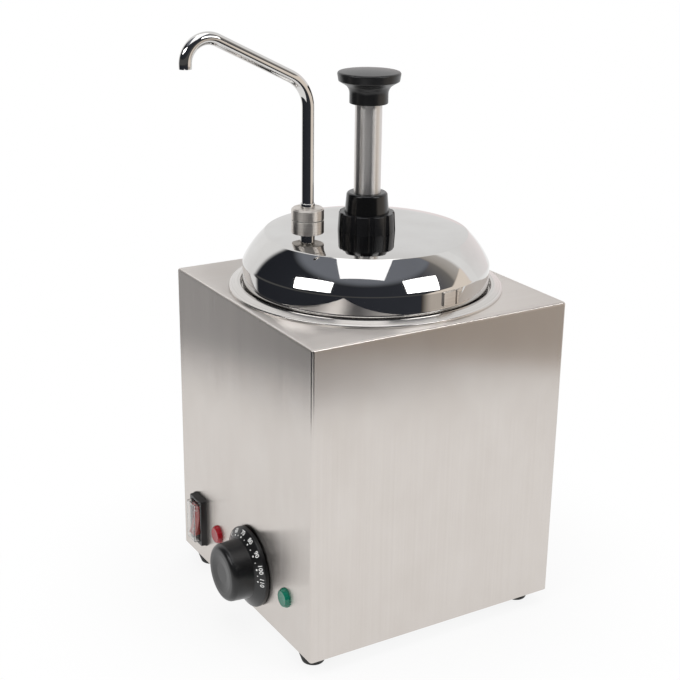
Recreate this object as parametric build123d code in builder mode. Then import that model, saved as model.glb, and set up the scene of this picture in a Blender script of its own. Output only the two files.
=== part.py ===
from build123d import *
import os
from math import cos, radians, sin, tan

# Hot fudge topping warmer: a heated square casing with a round water well, a lift-out
# fudge pan, and a lid that carries a hand pump with a swivel spout.
# Millimetres. The origin is on the floor under the centre of the casing, +Z is up,
# and the control panel faces -Y.

# ---- casing -------------------------------------------------------------------------
CASE_WIDTH = 215.0            # along X
CASE_DEPTH = 215.0            # along Y
CASE_HEIGHT = 240.0
CASE_SHEET = 1.0
CASE_EDGE_RADIUS = 2.0        # outside radius of the folded edges
CASE_LIP_WIDTH = 8.0          # return flange at the bottom, which the base plate meets
BASE_SHEET = 1.0
BASE_CLEARANCE = 0.3          # between the base plate and the casing walls
BASE_SCREW_RADIUS = 1.5
BASE_SCREW_LENGTH = 7.0
BASE_SCREW_HEAD_RADIUS = 2.8
BASE_SCREW_HEAD_HEIGHT = 1.6
BASE_SCREW_SPACING = 90.0
SLOT_LENGTH = 40.0            # cooling slots in the base plate
SLOT_WIDTH = 5.0
SLOT_PITCH = 14.0
SLOT_COUNT = 5
SCREW_CLEARANCE = 0.2         # radial, round screws that pass through sheet

# ---- feet ---------------------------------------------------------------------------
FOOT_HEIGHT = 12.5
FOOT_TOP_RADIUS = 12.5
FOOT_BOTTOM_RADIUS = 8.2
FOOT_EDGE_RADIUS = 1.0
FOOT_INSET_X = 21.0           # from the casing's side to the foot's axis
FOOT_INSET_Y = 14.0
FOOT_RECESS_RADIUS = 4.6
FOOT_RECESS_DEPTH = 6.0
FOOT_SCREW_RADIUS = 2.0
FOOT_SCREW_HEAD_RADIUS = 3.8
FOOT_SCREW_HEAD_HEIGHT = 2.6
NUT_AF = 7.0                  # M4 nuts, across flats
NUT_THICKNESS = 3.2
SCREW_TAIL = 2.0              # thread that stands out past a nut

# ---- water well ---------------------------------------------------------------------
WELL_MARGIN = 8.5             # inside of the casing's wall to the inside of the well
WELL_SHEET = 1.0
WELL_FLANGE_INSET = 0.5       # flange's edge inside the edge of the pan's rim
WIRING_SPACE = 78.0           # casing's bottom edge to the inside of the well's floor
WELL_CORNER_RADIUS = 12.0

# ---- fudge pan ----------------------------------------------------------------------
PAN_SHEET = 1.0
PAN_WATER_GAP = 8.0           # inside of the well to the inside of the pan
PAN_FLOOR_GAP = 17.0          # well's floor to the inside of the pan's floor
PAN_RIM_RISE = 4.5            # rim top above the casing
PAN_LEDGE_WIDTH = 4.6
PAN_RIM_WIDTH = 8.9
PAN_RIM_ROLL = 2.6            # outside radius of the rolled rim edge
PAN_LEDGE_DROP = 5.5          # rim top to the ledge that the lid stands on
PAN_CORNER_RADIUS = 15.0
PAN_LEDGE_BEND = 1.6          # fold from the wall to the ledge
PAN_NECK_FOOT = 0.6           # fold from the ledge to the neck
PAN_NECK_BEND = 2.0           # fold from the neck to the rim

# ---- lid ----------------------------------------------------------------------------
LID_SHEET = 0.8
LID_CLEARANCE = 1.5           # round the skirt, inside the pan's neck
LID_CREASE_RISE = 20.0        # casing top to the crease above the skirt
LID_CREST_INSET = 16.5        # skirt to the edge of the crown
LID_CREST_RISE = 42.2         # casing top to the edge of the flat top
LID_FLAT_INSET = 14.1         # edge of the crown to the level middle that the pump stands on
LID_CROWN = 1.0               # level middle above the top's edge
LID_SHOULDER_BULGE = 1.35     # how far the shoulder bows out from a straight cone
LID_CREASE_FILLET = 5.0
LID_CREST_FILLET = 2.5
LUG_START = 4.1               # degrees round from +X
LUG_SWEEP = 6.4
LUG_BASE_RISE = 8.0           # casing top to the lug's lower edge
LUG_HEIGHT = 10.5
LUG_THICKNESS = 1.6
LUG_CORNER_RADIUS = 1.2
LUG_STRIP_START = 11.5        # degrees round from +X, narrow strip beside the lug
LUG_STRIP_SWEEP = 1.0
LUG_BAR_SWEEP = 10.9          # bar along the top that joins the two
LUG_BAR_HEIGHT = 1.8
LUG_BAR_THICKNESS = 0.9

# ---- pump ---------------------------------------------------------------------------
PUMP_BORE_RADIUS = 15.5
PUMP_WALL = 1.5
PUMP_LENGTH = 112.0           # lid top to the bottom of the cylinder
PUMP_NECK = 9.0               # cylinder above the lid, inside the clamp nut
PUMP_FLANGE_RADIUS = 23.0
PUMP_FLANGE_THICKNESS = 2.0
GASKET_THICKNESS = 1.5
FIT_CLEARANCE = 0.05          # radial, moving round fits
SEAT_CLEARANCE = 0.2          # radial, fixed round fits
CLAMP_NUT_RADIUS = 21.6
CLAMP_NUT_TOP_RADIUS = 20.8
CLAMP_NUT_LIP = 3.0           # roof of the nut that traps the collar
CLAMP_NUT_LOBES = 10
CLAMP_NUT_PHASE = -4.5        # degrees
CLAMP_NUT_FLUTE_RADIUS = 2.9
CLAMP_NUT_FLUTE_DEPTH = 2.3
CLAMP_NUT_EDGE_RADIUS = 0.8
COLLAR_RADIUS = 16.5
COLLAR_TOP_RADIUS = 15.2
COLLAR_RISE = 15.0            # collar above the clamp nut
COLLAR_EDGE_RADIUS = 2.2
COLLAR_FLANGE = 2.0
COLLAR_SPIGOT = 8.0
TUBE_RADIUS = 10.0            # plunger tube
TUBE_WALL = 1.2
STROKE = 40.0                 # travel of the plunger
TUBE_LEFT = 25.7              # tube that still shows with the plunger down
PISTON_LENGTH = 20.0
PISTON_RADIUS = 14.9
PISTON_SPIGOT = 14.0
PISTON_HEADROOM = 8.0         # collar spigot to piston with the plunger up
SEAL_SECTION_RADIUS = 1.5
SEAL_GROOVE_CLEARANCE = 0.2   # each side of the seal
END_GAP = 0.3                 # end of a moving piece to what faces it
SPRING_WIRE_RADIUS = 0.9
SPRING_COIL_RADIUS = 12.5
SPRING_TURNS = 7
VALVE_HEIGHT = 22.0
VALVE_SPIGOT = 6.0
VALVE_CAGE_RADIUS = 7.5
VALVE_FLOOR = 6.0             # valve body below the ball's cage
VALVE_CAGE_HEIGHT = 13.0
VALVE_THROAT_RADIUS = 5.0      # keeps the ball below it
VALVE_INLET_RADIUS = 4.0
VALVE_RADIUS = 18.0
BALL_RADIUS = 5.5
SUCTION_RADIUS = 9.0
SUCTION_WALL = 1.2
SUCTION_SOCKET = 3.0
SUCTION_GAP = 6.0             # end of the suction tube above the pan's floor

# ---- push knob ----------------------------------------------------------------------
KNOB_HEIGHT = 24.2            # overall
KNOB_NECK_RADIUS = 14.2
KNOB_NECK_HEIGHT = 7.0
KNOB_NECK_EDGE = 0.6
KNOB_FLARE_RADIUS = 17.9
KNOB_FLARE_HEIGHT = 6.6
KNOB_RIM_LOW_RADIUS = 22.4
KNOB_RIM_RADIUS = 23.2
KNOB_RIM_HEIGHT = 5.0
KNOB_EDGE_RADIUS = 1.6
KNOB_CROWN = 1.4              # middle of the top above its edge
KNOB_SOCKET = 14.0

# ---- discharge tube, union and spout ------------------------------------------------
SPOUT_INSET = 11.9            # spout post to the edge of the lid's level middle
SPOUT_RADIUS = 4.5
SPOUT_WALL = 0.8
SPOUT_POST = 88.7             # union top to the corner of the first bend
SPOUT_REACH = 94.0            # post to outlet
SPOUT_SLOPE = 26.5            # degrees, arm above horizontal
SPOUT_BEND = 26.0
SPOUT_HOOK_BEND = 16.5
SPOUT_DROP = 29.6             # corner of the hook to the outlet
RING_RADIUS = 5.3             # rings above and below the union
STEM_RING_HEIGHT = 4.3
TOP_RING_HEIGHT = 3.6
UNION_RADIUS = 12.0
UNION_LOWER_HEIGHT = 9.7
UNION_UPPER_HEIGHT = 8.2
UNION_CHAMFER = 1.1
UNION_GAP = 0.6
UNION_SEAL = 0.3
UNION_SPIGOT_RADIUS = 7.5
UNION_SPIGOT = 4.0
UNION_OVERLAP = 7.0           # spout tube inside the upper half
DISCHARGE_BEND = 14.0
DISCHARGE_LEVEL = 12.0        # tube's axis above the bottom of the valve body
DISCHARGE_GRIP = 6.0          # tube inside the valve body's boss
LOCKNUT_AF = 16.0
LOCKNUT_THICKNESS = 4.0
BOSS_RADIUS = 7.0
BOSS_LENGTH = 25.0            # pump axis to the face of the discharge boss
SEAL_INSET = 0.6              # union seal inside the union's edge

# ---- control panel ------------------------------------------------------------------
CONTROL_RISE = 35.3           # above the bottom edge of the casing
SWITCH_INSET = 33.9           # casing's left side to the middle of the switch
SWITCH_WIDTH = 21.0
SWITCH_LENGTH = 40.0
SWITCH_FRAME_DEPTH = 5.2
SWITCH_FRAME_TAPER = 0.3      # frame's outside slopes in towards its face
SWITCH_FLANGE = 1.6
SWITCH_OPENING_WIDTH = 15.0
SWITCH_OPENING_LENGTH = 33.5
SWITCH_BODY_WIDTH = 13.0
SWITCH_BODY_LENGTH = 29.0
SWITCH_BODY_DEPTH = 24.0
ROCKER_WIDTH = 10.0
ROCKER_LENGTH = 26.0
ROCKER_ANGLE = 7.0            # each way from level
ROCKER_PROUD = 7.1            # level rocker's ends above the panel
ROCKER_HOLLOW = 2.0           # middle of its face below its ends
ROCKER_PIVOT_DEPTH = 2.0      # pivot behind the panel's face
ROCKER_SKIRT = 2.6            # underside below the pivot
ROCKER_BASE_LENGTH = 18.0
ROCKER_CAVITY_DEPTH = 6.0     # behind the panel's face
ROCKER_CLEARANCE = 0.3
ROCKER_PIN_RADIUS = 1.2
ROCKER_PIN_REACH = 1.2        # pin beyond the rocker's side
COVER_SHEET = 0.8
COVER_RISE = 4.6              # clear cover above the frame's face
COVER_EDGE_RADIUS = 1.2
TERMINAL_WIDTH = 4.8
TERMINAL_THICKNESS = 0.8
TERMINAL_LENGTH = 9.0
TERMINAL_PITCH = 9.5
TERMINAL_COUNT = 3
LAMP_RED_PITCH = 31.6         # switch to the red lamp
LAMP_GREEN_INSET = 37.5       # casing's right side to the green lamp
LAMP_LENS_RADIUS = 7.5
LAMP_LENS_TOP_RADIUS = 6.2
LAMP_LENS_HEIGHT = 3.6
LAMP_LENS_EDGE = 1.0          # straight wall at the panel
LAMP_LENS_FILLET = 1.0
LAMP_LENS_WALL = 1.3
LAMP_BODY_RADIUS = 5.4
LAMP_BODY_LENGTH = 24.0
LAMP_FLANGE = 1.0
LAMP_NUT_AF = 14.0
LAMP_NUT_THICKNESS = 3.0
NEON_RADIUS = 2.2
NEON_LENGTH = 12.0
NEON_WELL_DEPTH = 16.0
NEON_WELL_RADIUS = 3.4
DIAL_X = 15.3
DIAL_GAP = 1.0                # skirt to panel
DIAL_SKIRT_RADIUS = 31.3
DIAL_SKIRT_EDGE = 3.0         # thickness of the skirt at its rim
DIAL_CONE = 5.0               # how far the numbered cone rises
DIAL_BARREL_RADIUS = 23.1
DIAL_FACE_RADIUS = 22.1
DIAL_BARREL = 15.2
DIAL_NOSE = 1.6
DIAL_NOSE_RADIUS = 18.8
DIAL_DISH_RADIUS = 14.5
DIAL_DISH = 0.8
DIAL_WALL = 2.2
DIAL_SKIRT_FILLET = 0.8
DIAL_NOSE_FILLET = 1.5
DIAL_HUB_RADIUS = 6.5
SPINDLE_RADIUS = 3.0
SPINDLE_LENGTH = 30.0
SPINDLE_BURIED = 6.0          # spindle inside the thermostat
THERMO_WIDTH = 44.0
THERMO_HEIGHT = 34.0
THERMO_DEPTH = 28.0
THERMO_PLATE = 1.5
THERMO_PLATE_WIDTH = 52.0
THERMO_BUSH_RADIUS = 5.0
THERMO_BUSH_RISE = 3.0        # bush above the panel
THERMO_SCREW_SPACING = 28.0
THERMO_SCREW_LENGTH = 6.0

# ---- heating ------------------------------------------------------------------------
HEATER_RADIUS = 62.0
HEATER_TUBE_RADIUS = 4.0
HEATER_GAP_ANGLE = 30.0       # degrees between the two cold ends
HEATER_TAIL = 16.0            # cold ends turn down by this much
HEATER_BEND = 10.0
HEATER_SEAT = 0.05
STRAP_LENGTH = 30.0
STRAP_WIDTH = 12.0
STRAP_SHEET = 1.5
STRAP_COUNT = 3
STUD_RADIUS = 2.0
STUD_CIRCLE = 52.0
BULB_RADIUS = 3.0
BULB_LENGTH = 70.0
BULB_Y = 18.0
BULB_CLIP_SHEET = 1.0
BULB_CLIP_WIDTH = 10.0
BULB_CLIP_FOOT = 6.0
CAPILLARY_RADIUS = 0.9
CAPILLARY_BEND = 4.5
CAPILLARY_LEVEL = 14.5        # level run below the well
CAPILLARY_LEAD = 8.0          # straight run out of the bulb
CAPILLARY_ENTRY_X = 9.7       # entry on the thermostat's top, from its middle
CAPILLARY_ENTRY_Y = 17.5      # entry behind the panel
HEATER_PIN_RADIUS = 2.0
HEATER_PIN_LENGTH = 9.0
SHIELD_SIZE = 156.0
SHIELD_SHEET = 0.8
SHIELD_LEVEL = 58.0           # above the base plate
SHIELD_HOLE_WIDTH = 14.0      # hole that the heater's ends pass
SHIELD_HOLE_LENGTH = 28.0
POST_RADIUS = 3.5
POST_X = 66.0
POST_Y = 60.0
CUTOUT_RADIUS = 8.0
CUTOUT_HEIGHT = 8.0
CUTOUT_X = -24.0
CUTOUT_Y = -14.0
CUTOUT_EAR_LENGTH = 26.0
CUTOUT_EAR_WIDTH = 9.0
CUTOUT_EAR = 0.8
BLOCK_LENGTH = 44.0
BLOCK_WIDTH = 20.0
BLOCK_HEIGHT = 16.0
BLOCK_X = -30.0
BLOCK_Y = 56.0
BLOCK_WAYS = 4
BLOCK_SCREW_RADIUS = 2.5
BLOCK_SCREW_DEPTH = 5.0

# ---- cable gland --------------------------------------------------------------------
GLAND_INSET = 47.5            # casing's side to the gland
GLAND_RISE = 30.0             # above the bottom edge of the casing
GLAND_BORE_RADIUS = 3.8
GLAND_THREAD_RADIUS = 7.8
GLAND_THREAD = 11.0
GLAND_AF = 22.0
GLAND_FLANGE = 5.0
GLAND_DOME_RADIUS = 9.5
GLAND_DOME = 11.0
GLAND_NUT_THICKNESS = 4.5

# ---- places and levels --------------------------------------------------------------
SWITCH_X = SWITCH_INSET - CASE_WIDTH / 2
LAMP_RED_X = SWITCH_X + LAMP_RED_PITCH
LAMP_GREEN_X = CASE_WIDTH / 2 - LAMP_GREEN_INSET
GLAND_X = GLAND_INSET - CASE_WIDTH / 2
WELL_RADIUS = min(CASE_WIDTH, CASE_DEPTH) / 2 - CASE_SHEET - WELL_MARGIN
PAN_RADIUS = WELL_RADIUS - PAN_WATER_GAP
PAN_RIM_INNER = PAN_RADIUS + PAN_LEDGE_WIDTH
PAN_RIM_OUTER = PAN_RIM_INNER + PAN_RIM_WIDTH
WELL_FLANGE_RADIUS = PAN_RIM_OUTER - WELL_FLANGE_INSET
LID_RADIUS = PAN_RIM_INNER - LID_CLEARANCE
LID_CREST_RADIUS = LID_RADIUS - LID_CREST_INSET
LID_FLAT_RADIUS = LID_CREST_RADIUS - LID_FLAT_INSET
SPOUT_OFFSET = LID_FLAT_RADIUS - SPOUT_INSET
CASE_BASE = FOOT_HEIGHT
CASE_TOP = CASE_BASE + CASE_HEIGHT
LIP_BOTTOM = CASE_BASE + BASE_SHEET
FRONT_Y = -CASE_DEPTH / 2
CONTROL_Z = CASE_BASE + CONTROL_RISE
RIM_TOP = CASE_TOP + PAN_RIM_RISE
LEDGE_TOP = RIM_TOP - PAN_LEDGE_DROP
WELL_FLOOR = CASE_BASE + WIRING_SPACE
PAN_FLOOR = WELL_FLOOR + PAN_FLOOR_GAP
WELL_UNDERSIDE = WELL_FLOOR - WELL_SHEET
LID_TOP = CASE_TOP + LID_CREST_RISE + LID_CROWN
CYLINDER_TOP = LID_TOP + PUMP_NECK
COLLAR_SEAT = CYLINDER_TOP + COLLAR_FLANGE
NUT_TOP = COLLAR_SEAT + CLAMP_NUT_LIP
COLLAR_TOP = NUT_TOP + COLLAR_RISE
KNOB_BOTTOM = COLLAR_TOP + STROKE + TUBE_LEFT
CYLINDER_BOTTOM = LID_TOP - PUMP_LENGTH
CYLINDER_RADIUS = PUMP_BORE_RADIUS + PUMP_WALL
SPIGOT_BOTTOM = CYLINDER_TOP - COLLAR_SPIGOT
PISTON_TOP = SPIGOT_BOTTOM - PISTON_HEADROOM
PISTON_BOTTOM = PISTON_TOP - PISTON_LENGTH
VALVE_BOTTOM = CYLINDER_BOTTOM - VALVE_HEIGHT
VALVE_TOP = CYLINDER_BOTTOM + VALVE_SPIGOT
CAGE_FLOOR = VALVE_BOTTOM + VALVE_FLOOR
STEM_TOP = LID_TOP + STEM_RING_HEIGHT
UNION_SPLIT = STEM_TOP + UNION_LOWER_HEIGHT
UNION_UPPER_BOTTOM = UNION_SPLIT + UNION_GAP
UNION_TOP = UNION_UPPER_BOTTOM + UNION_UPPER_HEIGHT
SHIELD_BOTTOM = LIP_BOTTOM + SHIELD_LEVEL


def save(builder, name):
    """Label a finished piece and write it as its own STEP file."""
    builder.part.label = name
    export_step(builder.part, f"parts/{name}.step")
    print(f"{name}: {len(builder.part.solids())} solid(s), {builder.part.volume:.1f} mm3")


def panel_plane(x, z, out=0.0):
    """A sketch plane on the control panel, its normal pointing out of the panel."""
    return Plane(origin=(x, FRONT_Y - out, z), x_dir=(1, 0, 0), z_dir=(0, -1, 0))


def profile_plane(x=0.0, y=0.0):
    """The vertical plane that revolved pieces are drawn in, through a vertical axis."""
    return Plane(origin=(x, y, 0), x_dir=(1, 0, 0), z_dir=(0, -1, 0))


def hexagon_radius(across_flats):
    """Corner radius of a hexagon."""
    return across_flats / 2 / cos(radians(30))


os.makedirs("parts", exist_ok=True)

FOOT_POSITIONS = {
    "front_left": (-(CASE_WIDTH / 2 - FOOT_INSET_X), -(CASE_DEPTH / 2 - FOOT_INSET_Y)),
    "front_right": (CASE_WIDTH / 2 - FOOT_INSET_X, -(CASE_DEPTH / 2 - FOOT_INSET_Y)),
    "rear_left": (-(CASE_WIDTH / 2 - FOOT_INSET_X), CASE_DEPTH / 2 - FOOT_INSET_Y),
    "rear_right": (CASE_WIDTH / 2 - FOOT_INSET_X, CASE_DEPTH / 2 - FOOT_INSET_Y),
}
FOOT_PLACES = list(FOOT_POSITIONS.values())

# Screws through the base plate, two along each side, in the middle of the casing's lip.
lip_x = CASE_WIDTH / 2 - CASE_SHEET - CASE_LIP_WIDTH / 2
lip_y = CASE_DEPTH / 2 - CASE_SHEET - CASE_LIP_WIDTH / 2
half_spacing = BASE_SCREW_SPACING / 2
BASE_SCREW_PLACES = [
    (sx * lip_x, sy * half_spacing) for sx in (-1, 1) for sy in (-1, 1)
] + [(sx * half_spacing, sy * lip_y) for sx in (-1, 1) for sy in (-1, 1)]

# ---- casing shell: folded box, open below, with a return lip ---------------------------
with BuildPart() as casing_shell:
    with BuildSketch(Plane.XY.offset(CASE_BASE)):
        Rectangle(CASE_WIDTH, CASE_DEPTH)
    extrude(amount=CASE_HEIGHT)
    folds = casing_shell.edges().filter_by(Axis.Z) + casing_shell.edges().group_by(Axis.Z)[-1]
    fillet(folds, radius=CASE_EDGE_RADIUS)
    offset(amount=-CASE_SHEET, openings=casing_shell.faces().sort_by(Axis.Z)[0])
    with BuildSketch(Plane.XY.offset(LIP_BOTTOM)):
        RectangleRounded(
            CASE_WIDTH - CASE_SHEET, CASE_DEPTH - CASE_SHEET, CASE_EDGE_RADIUS - CASE_SHEET / 2
        )
        Rectangle(
            CASE_WIDTH - 2 * CASE_SHEET - 2 * CASE_LIP_WIDTH,
            CASE_DEPTH - 2 * CASE_SHEET - 2 * CASE_LIP_WIDTH,
            mode=Mode.SUBTRACT,
        )
    extrude(amount=CASE_SHEET)
    with BuildSketch(Plane.XY.offset(CASE_TOP)):
        Circle(WELL_RADIUS)
    extrude(amount=-2 * CASE_SHEET, mode=Mode.SUBTRACT)
    with BuildSketch(Plane.XY.offset(CASE_BASE)):
        with Locations(*BASE_SCREW_PLACES):
            Circle(BASE_SCREW_RADIUS + SCREW_CLEARANCE)
    extrude(amount=2 * BASE_SHEET + CASE_SHEET, mode=Mode.SUBTRACT)
    with BuildSketch(panel_plane(0, CONTROL_Z, CASE_SHEET)):
        with Locations((SWITCH_X, 0)):
            Rectangle(SWITCH_BODY_WIDTH + 2 * SEAT_CLEARANCE, SWITCH_BODY_LENGTH + 2 * SEAT_CLEARANCE)
        with Locations((LAMP_RED_X, 0), (LAMP_GREEN_X, 0)):
            Circle(LAMP_BODY_RADIUS + SEAT_CLEARANCE)
        with Locations((DIAL_X, 0)):
            Circle(THERMO_BUSH_RADIUS + SEAT_CLEARANCE)
            with GridLocations(THERMO_SCREW_SPACING, THERMO_SCREW_SPACING, 2, 1):
                Circle(BASE_SCREW_RADIUS + SCREW_CLEARANCE)
    extrude(amount=-3 * CASE_SHEET, mode=Mode.SUBTRACT)
    with BuildSketch(Plane.XZ.offset(-CASE_DEPTH / 2)):
        with Locations((GLAND_X, CASE_BASE + GLAND_RISE)):
            Circle(GLAND_THREAD_RADIUS + SEAT_CLEARANCE)
    extrude(amount=2 * CASE_SHEET, mode=Mode.SUBTRACT)
save(casing_shell, "casing_shell")

# ---- base plate: vented sheet that closes the casing ------------------------------------
base_width = CASE_WIDTH - 2 * CASE_SHEET - 2 * BASE_CLEARANCE
base_depth = CASE_DEPTH - 2 * CASE_SHEET - 2 * BASE_CLEARANCE
with BuildPart() as base_plate:
    with BuildSketch(Plane.XY.offset(CASE_BASE)):
        Rectangle(base_width, base_depth)
        with Locations(*BASE_SCREW_PLACES):
            Circle(BASE_SCREW_RADIUS + SCREW_CLEARANCE, mode=Mode.SUBTRACT)
        with Locations(*FOOT_PLACES):
            Circle(FOOT_SCREW_RADIUS + SCREW_CLEARANCE, mode=Mode.SUBTRACT)
        with GridLocations(SLOT_LENGTH, SLOT_PITCH, 1, SLOT_COUNT):
            SlotOverall(SLOT_LENGTH, SLOT_WIDTH, mode=Mode.SUBTRACT)
    extrude(amount=BASE_SHEET)
save(base_plate, "base_plate")

with BuildPart() as base_screws:
    for x, y in BASE_SCREW_PLACES:
        with BuildSketch(Plane.XY.offset(CASE_BASE)):
            with Locations((x, y)):
                Circle(BASE_SCREW_HEAD_RADIUS)
        extrude(amount=-BASE_SCREW_HEAD_HEIGHT)
        with BuildSketch(Plane.XY.offset(CASE_BASE)):
            with Locations((x, y)):
                Circle(BASE_SCREW_RADIUS)
        extrude(amount=BASE_SCREW_LENGTH)
save(base_screws, "base_screws")

# ---- feet: tapered rubber bumpers, each on a screw from below ----------------------------
for corner, (x, y) in FOOT_POSITIONS.items():
    with BuildPart() as foot:
        with BuildSketch(profile_plane(x, y)):
            with BuildLine():
                Polyline(
                    (FOOT_SCREW_RADIUS + SCREW_CLEARANCE, FOOT_RECESS_DEPTH),
                    (FOOT_RECESS_RADIUS, FOOT_RECESS_DEPTH),
                    (FOOT_RECESS_RADIUS, 0),
                    (FOOT_BOTTOM_RADIUS, 0),
                    (FOOT_TOP_RADIUS, FOOT_HEIGHT),
                    (FOOT_SCREW_RADIUS + SCREW_CLEARANCE, FOOT_HEIGHT),
                    close=True,
                )
            make_face()
        revolve(axis=Axis((x, y, 0), (0, 0, 1)))
        fillet(foot.edges().group_by(Axis.Z)[0].sort_by(SortBy.RADIUS)[-1], FOOT_EDGE_RADIUS)
    save(foot, f"foot_{corner}")

with BuildPart() as foot_screws:
    for x, y in FOOT_PLACES:
        with BuildSketch(Plane.XY.offset(FOOT_RECESS_DEPTH)):
            with Locations((x, y)):
                Circle(FOOT_SCREW_HEAD_RADIUS)
        extrude(amount=-FOOT_SCREW_HEAD_HEIGHT)
        with BuildSketch(Plane.XY.offset(FOOT_RECESS_DEPTH)):
            with Locations((x, y)):
                Circle(FOOT_SCREW_RADIUS)
        extrude(amount=LIP_BOTTOM + NUT_THICKNESS + SCREW_TAIL - FOOT_RECESS_DEPTH)
save(foot_screws, "foot_screws")

with BuildPart() as foot_nuts:
    with BuildSketch(Plane.XY.offset(LIP_BOTTOM)):
        with Locations(*FOOT_PLACES):
            RegularPolygon(hexagon_radius(NUT_AF), 6)
            Circle(FOOT_SCREW_RADIUS, mode=Mode.SUBTRACT)
    extrude(amount=NUT_THICKNESS)
save(foot_nuts, "foot_nuts")

# ---- water well: deep-drawn tank hung by its flange under the casing top ------------------
well_top = CASE_TOP - CASE_SHEET
with BuildPart() as well_tank:
    with BuildSketch(profile_plane()):
        with BuildLine():
            well_wall = FilletPolyline(
                (0, WELL_FLOOR),
                (WELL_RADIUS, WELL_FLOOR),
                (WELL_RADIUS, well_top),
                radius=WELL_CORNER_RADIUS,
            )
            offset(well_wall, amount=WELL_SHEET, side=Side.RIGHT, closed=True)
        make_face()
        with BuildLine():
            Polyline(
                (WELL_RADIUS, well_top),
                (WELL_FLANGE_RADIUS, well_top),
                (WELL_FLANGE_RADIUS, well_top - WELL_SHEET),
                (WELL_RADIUS, well_top - WELL_SHEET),
                close=True,
            )
        make_face()
    revolve(axis=Axis.Z)
    with BuildSketch(Plane.XY.offset(WELL_UNDERSIDE)):
        with PolarLocations(STUD_CIRCLE, STRAP_COUNT, start_angle=90):
            Circle(STUD_RADIUS)
    extrude(amount=-(2 * HEATER_TUBE_RADIUS + STRAP_SHEET + NUT_THICKNESS + SCREW_TAIL))
save(well_tank, "well_tank")

# ---- heater: tubular ring held against the well's floor ------------------------------------
heater_z = WELL_UNDERSIDE - HEATER_TUBE_RADIUS - HEATER_SEAT
gap_half = radians(HEATER_GAP_ANGLE / 2)
end_x = HEATER_RADIUS * cos(gap_half)
end_y = HEATER_RADIUS * sin(gap_half)
with BuildPart() as heater_ring:
    with BuildLine() as heater_line:
        CenterArc((0, 0, heater_z), HEATER_RADIUS, HEATER_GAP_ANGLE / 2, 360 - HEATER_GAP_ANGLE)
        for side in (1, -1):
            start = Vector(end_x, side * end_y, heater_z)
            onward = Vector(sin(gap_half), -side * cos(gap_half), 0) * HEATER_BEND
            drop = Vector(0, 0, -HEATER_BEND)
            half_way = start + drop + (onward - drop) * cos(radians(45))
            ThreePointArc(start, half_way, start + onward + drop)
            Line(start + onward + drop, start + onward + drop - Vector(0, 0, HEATER_TAIL))
    path = heater_line.wires()[0]
    with BuildSketch(Plane(origin=path @ 0, z_dir=path % 0)):
        Circle(HEATER_TUBE_RADIUS)
    sweep(path=path)
    pin_x = end_x + HEATER_BEND * sin(gap_half)
    pin_y = end_y - HEATER_BEND * cos(gap_half)
    with BuildSketch(Plane.XY.offset(heater_z - HEATER_BEND - HEATER_TAIL)):
        with Locations((pin_x, pin_y), (pin_x, -pin_y)):
            Circle(HEATER_PIN_RADIUS)
    extrude(amount=-HEATER_PIN_LENGTH)
save(heater_ring, "heater_ring")

strap_top = WELL_UNDERSIDE - 2 * HEATER_TUBE_RADIUS - 2 * HEATER_SEAT
with BuildPart() as heater_straps:
    with BuildSketch(Plane.XY.offset(strap_top)):
        with PolarLocations((HEATER_RADIUS + STUD_CIRCLE) / 2, STRAP_COUNT, start_angle=90):
            Rectangle(STRAP_LENGTH, STRAP_WIDTH)
        with PolarLocations(STUD_CIRCLE, STRAP_COUNT, start_angle=90):
            Circle(STUD_RADIUS + SCREW_CLEARANCE, mode=Mode.SUBTRACT)
    extrude(amount=-STRAP_SHEET)
save(heater_straps, "heater_straps")

with BuildPart() as strap_nuts:
    with BuildSketch(Plane.XY.offset(strap_top - STRAP_SHEET)):
        with PolarLocations(STUD_CIRCLE, STRAP_COUNT, start_angle=90):
            RegularPolygon(hexagon_radius(NUT_AF), 6)
            Circle(STUD_RADIUS, mode=Mode.SUBTRACT)
    extrude(amount=-NUT_THICKNESS)
save(strap_nuts, "strap_nuts")

# ---- heat shield on four posts, between the heater and the wiring space -------------------
with BuildPart() as heat_shield:
    with BuildSketch(Plane.XY.offset(SHIELD_BOTTOM)):
        Rectangle(SHIELD_SIZE, SHIELD_SIZE)
        with Locations((HEATER_RADIUS, 0)):
            Rectangle(SHIELD_HOLE_WIDTH, SHIELD_HOLE_LENGTH, mode=Mode.SUBTRACT)
    extrude(amount=SHIELD_SHEET)
save(heat_shield, "heat_shield")

with BuildPart() as shield_posts:
    with BuildSketch(Plane.XY.offset(LIP_BOTTOM)):
        with GridLocations(2 * POST_X, 2 * POST_Y, 2, 2):
            Circle(POST_RADIUS)
    extrude(amount=SHIELD_LEVEL)
save(shield_posts, "shield_posts")

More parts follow.
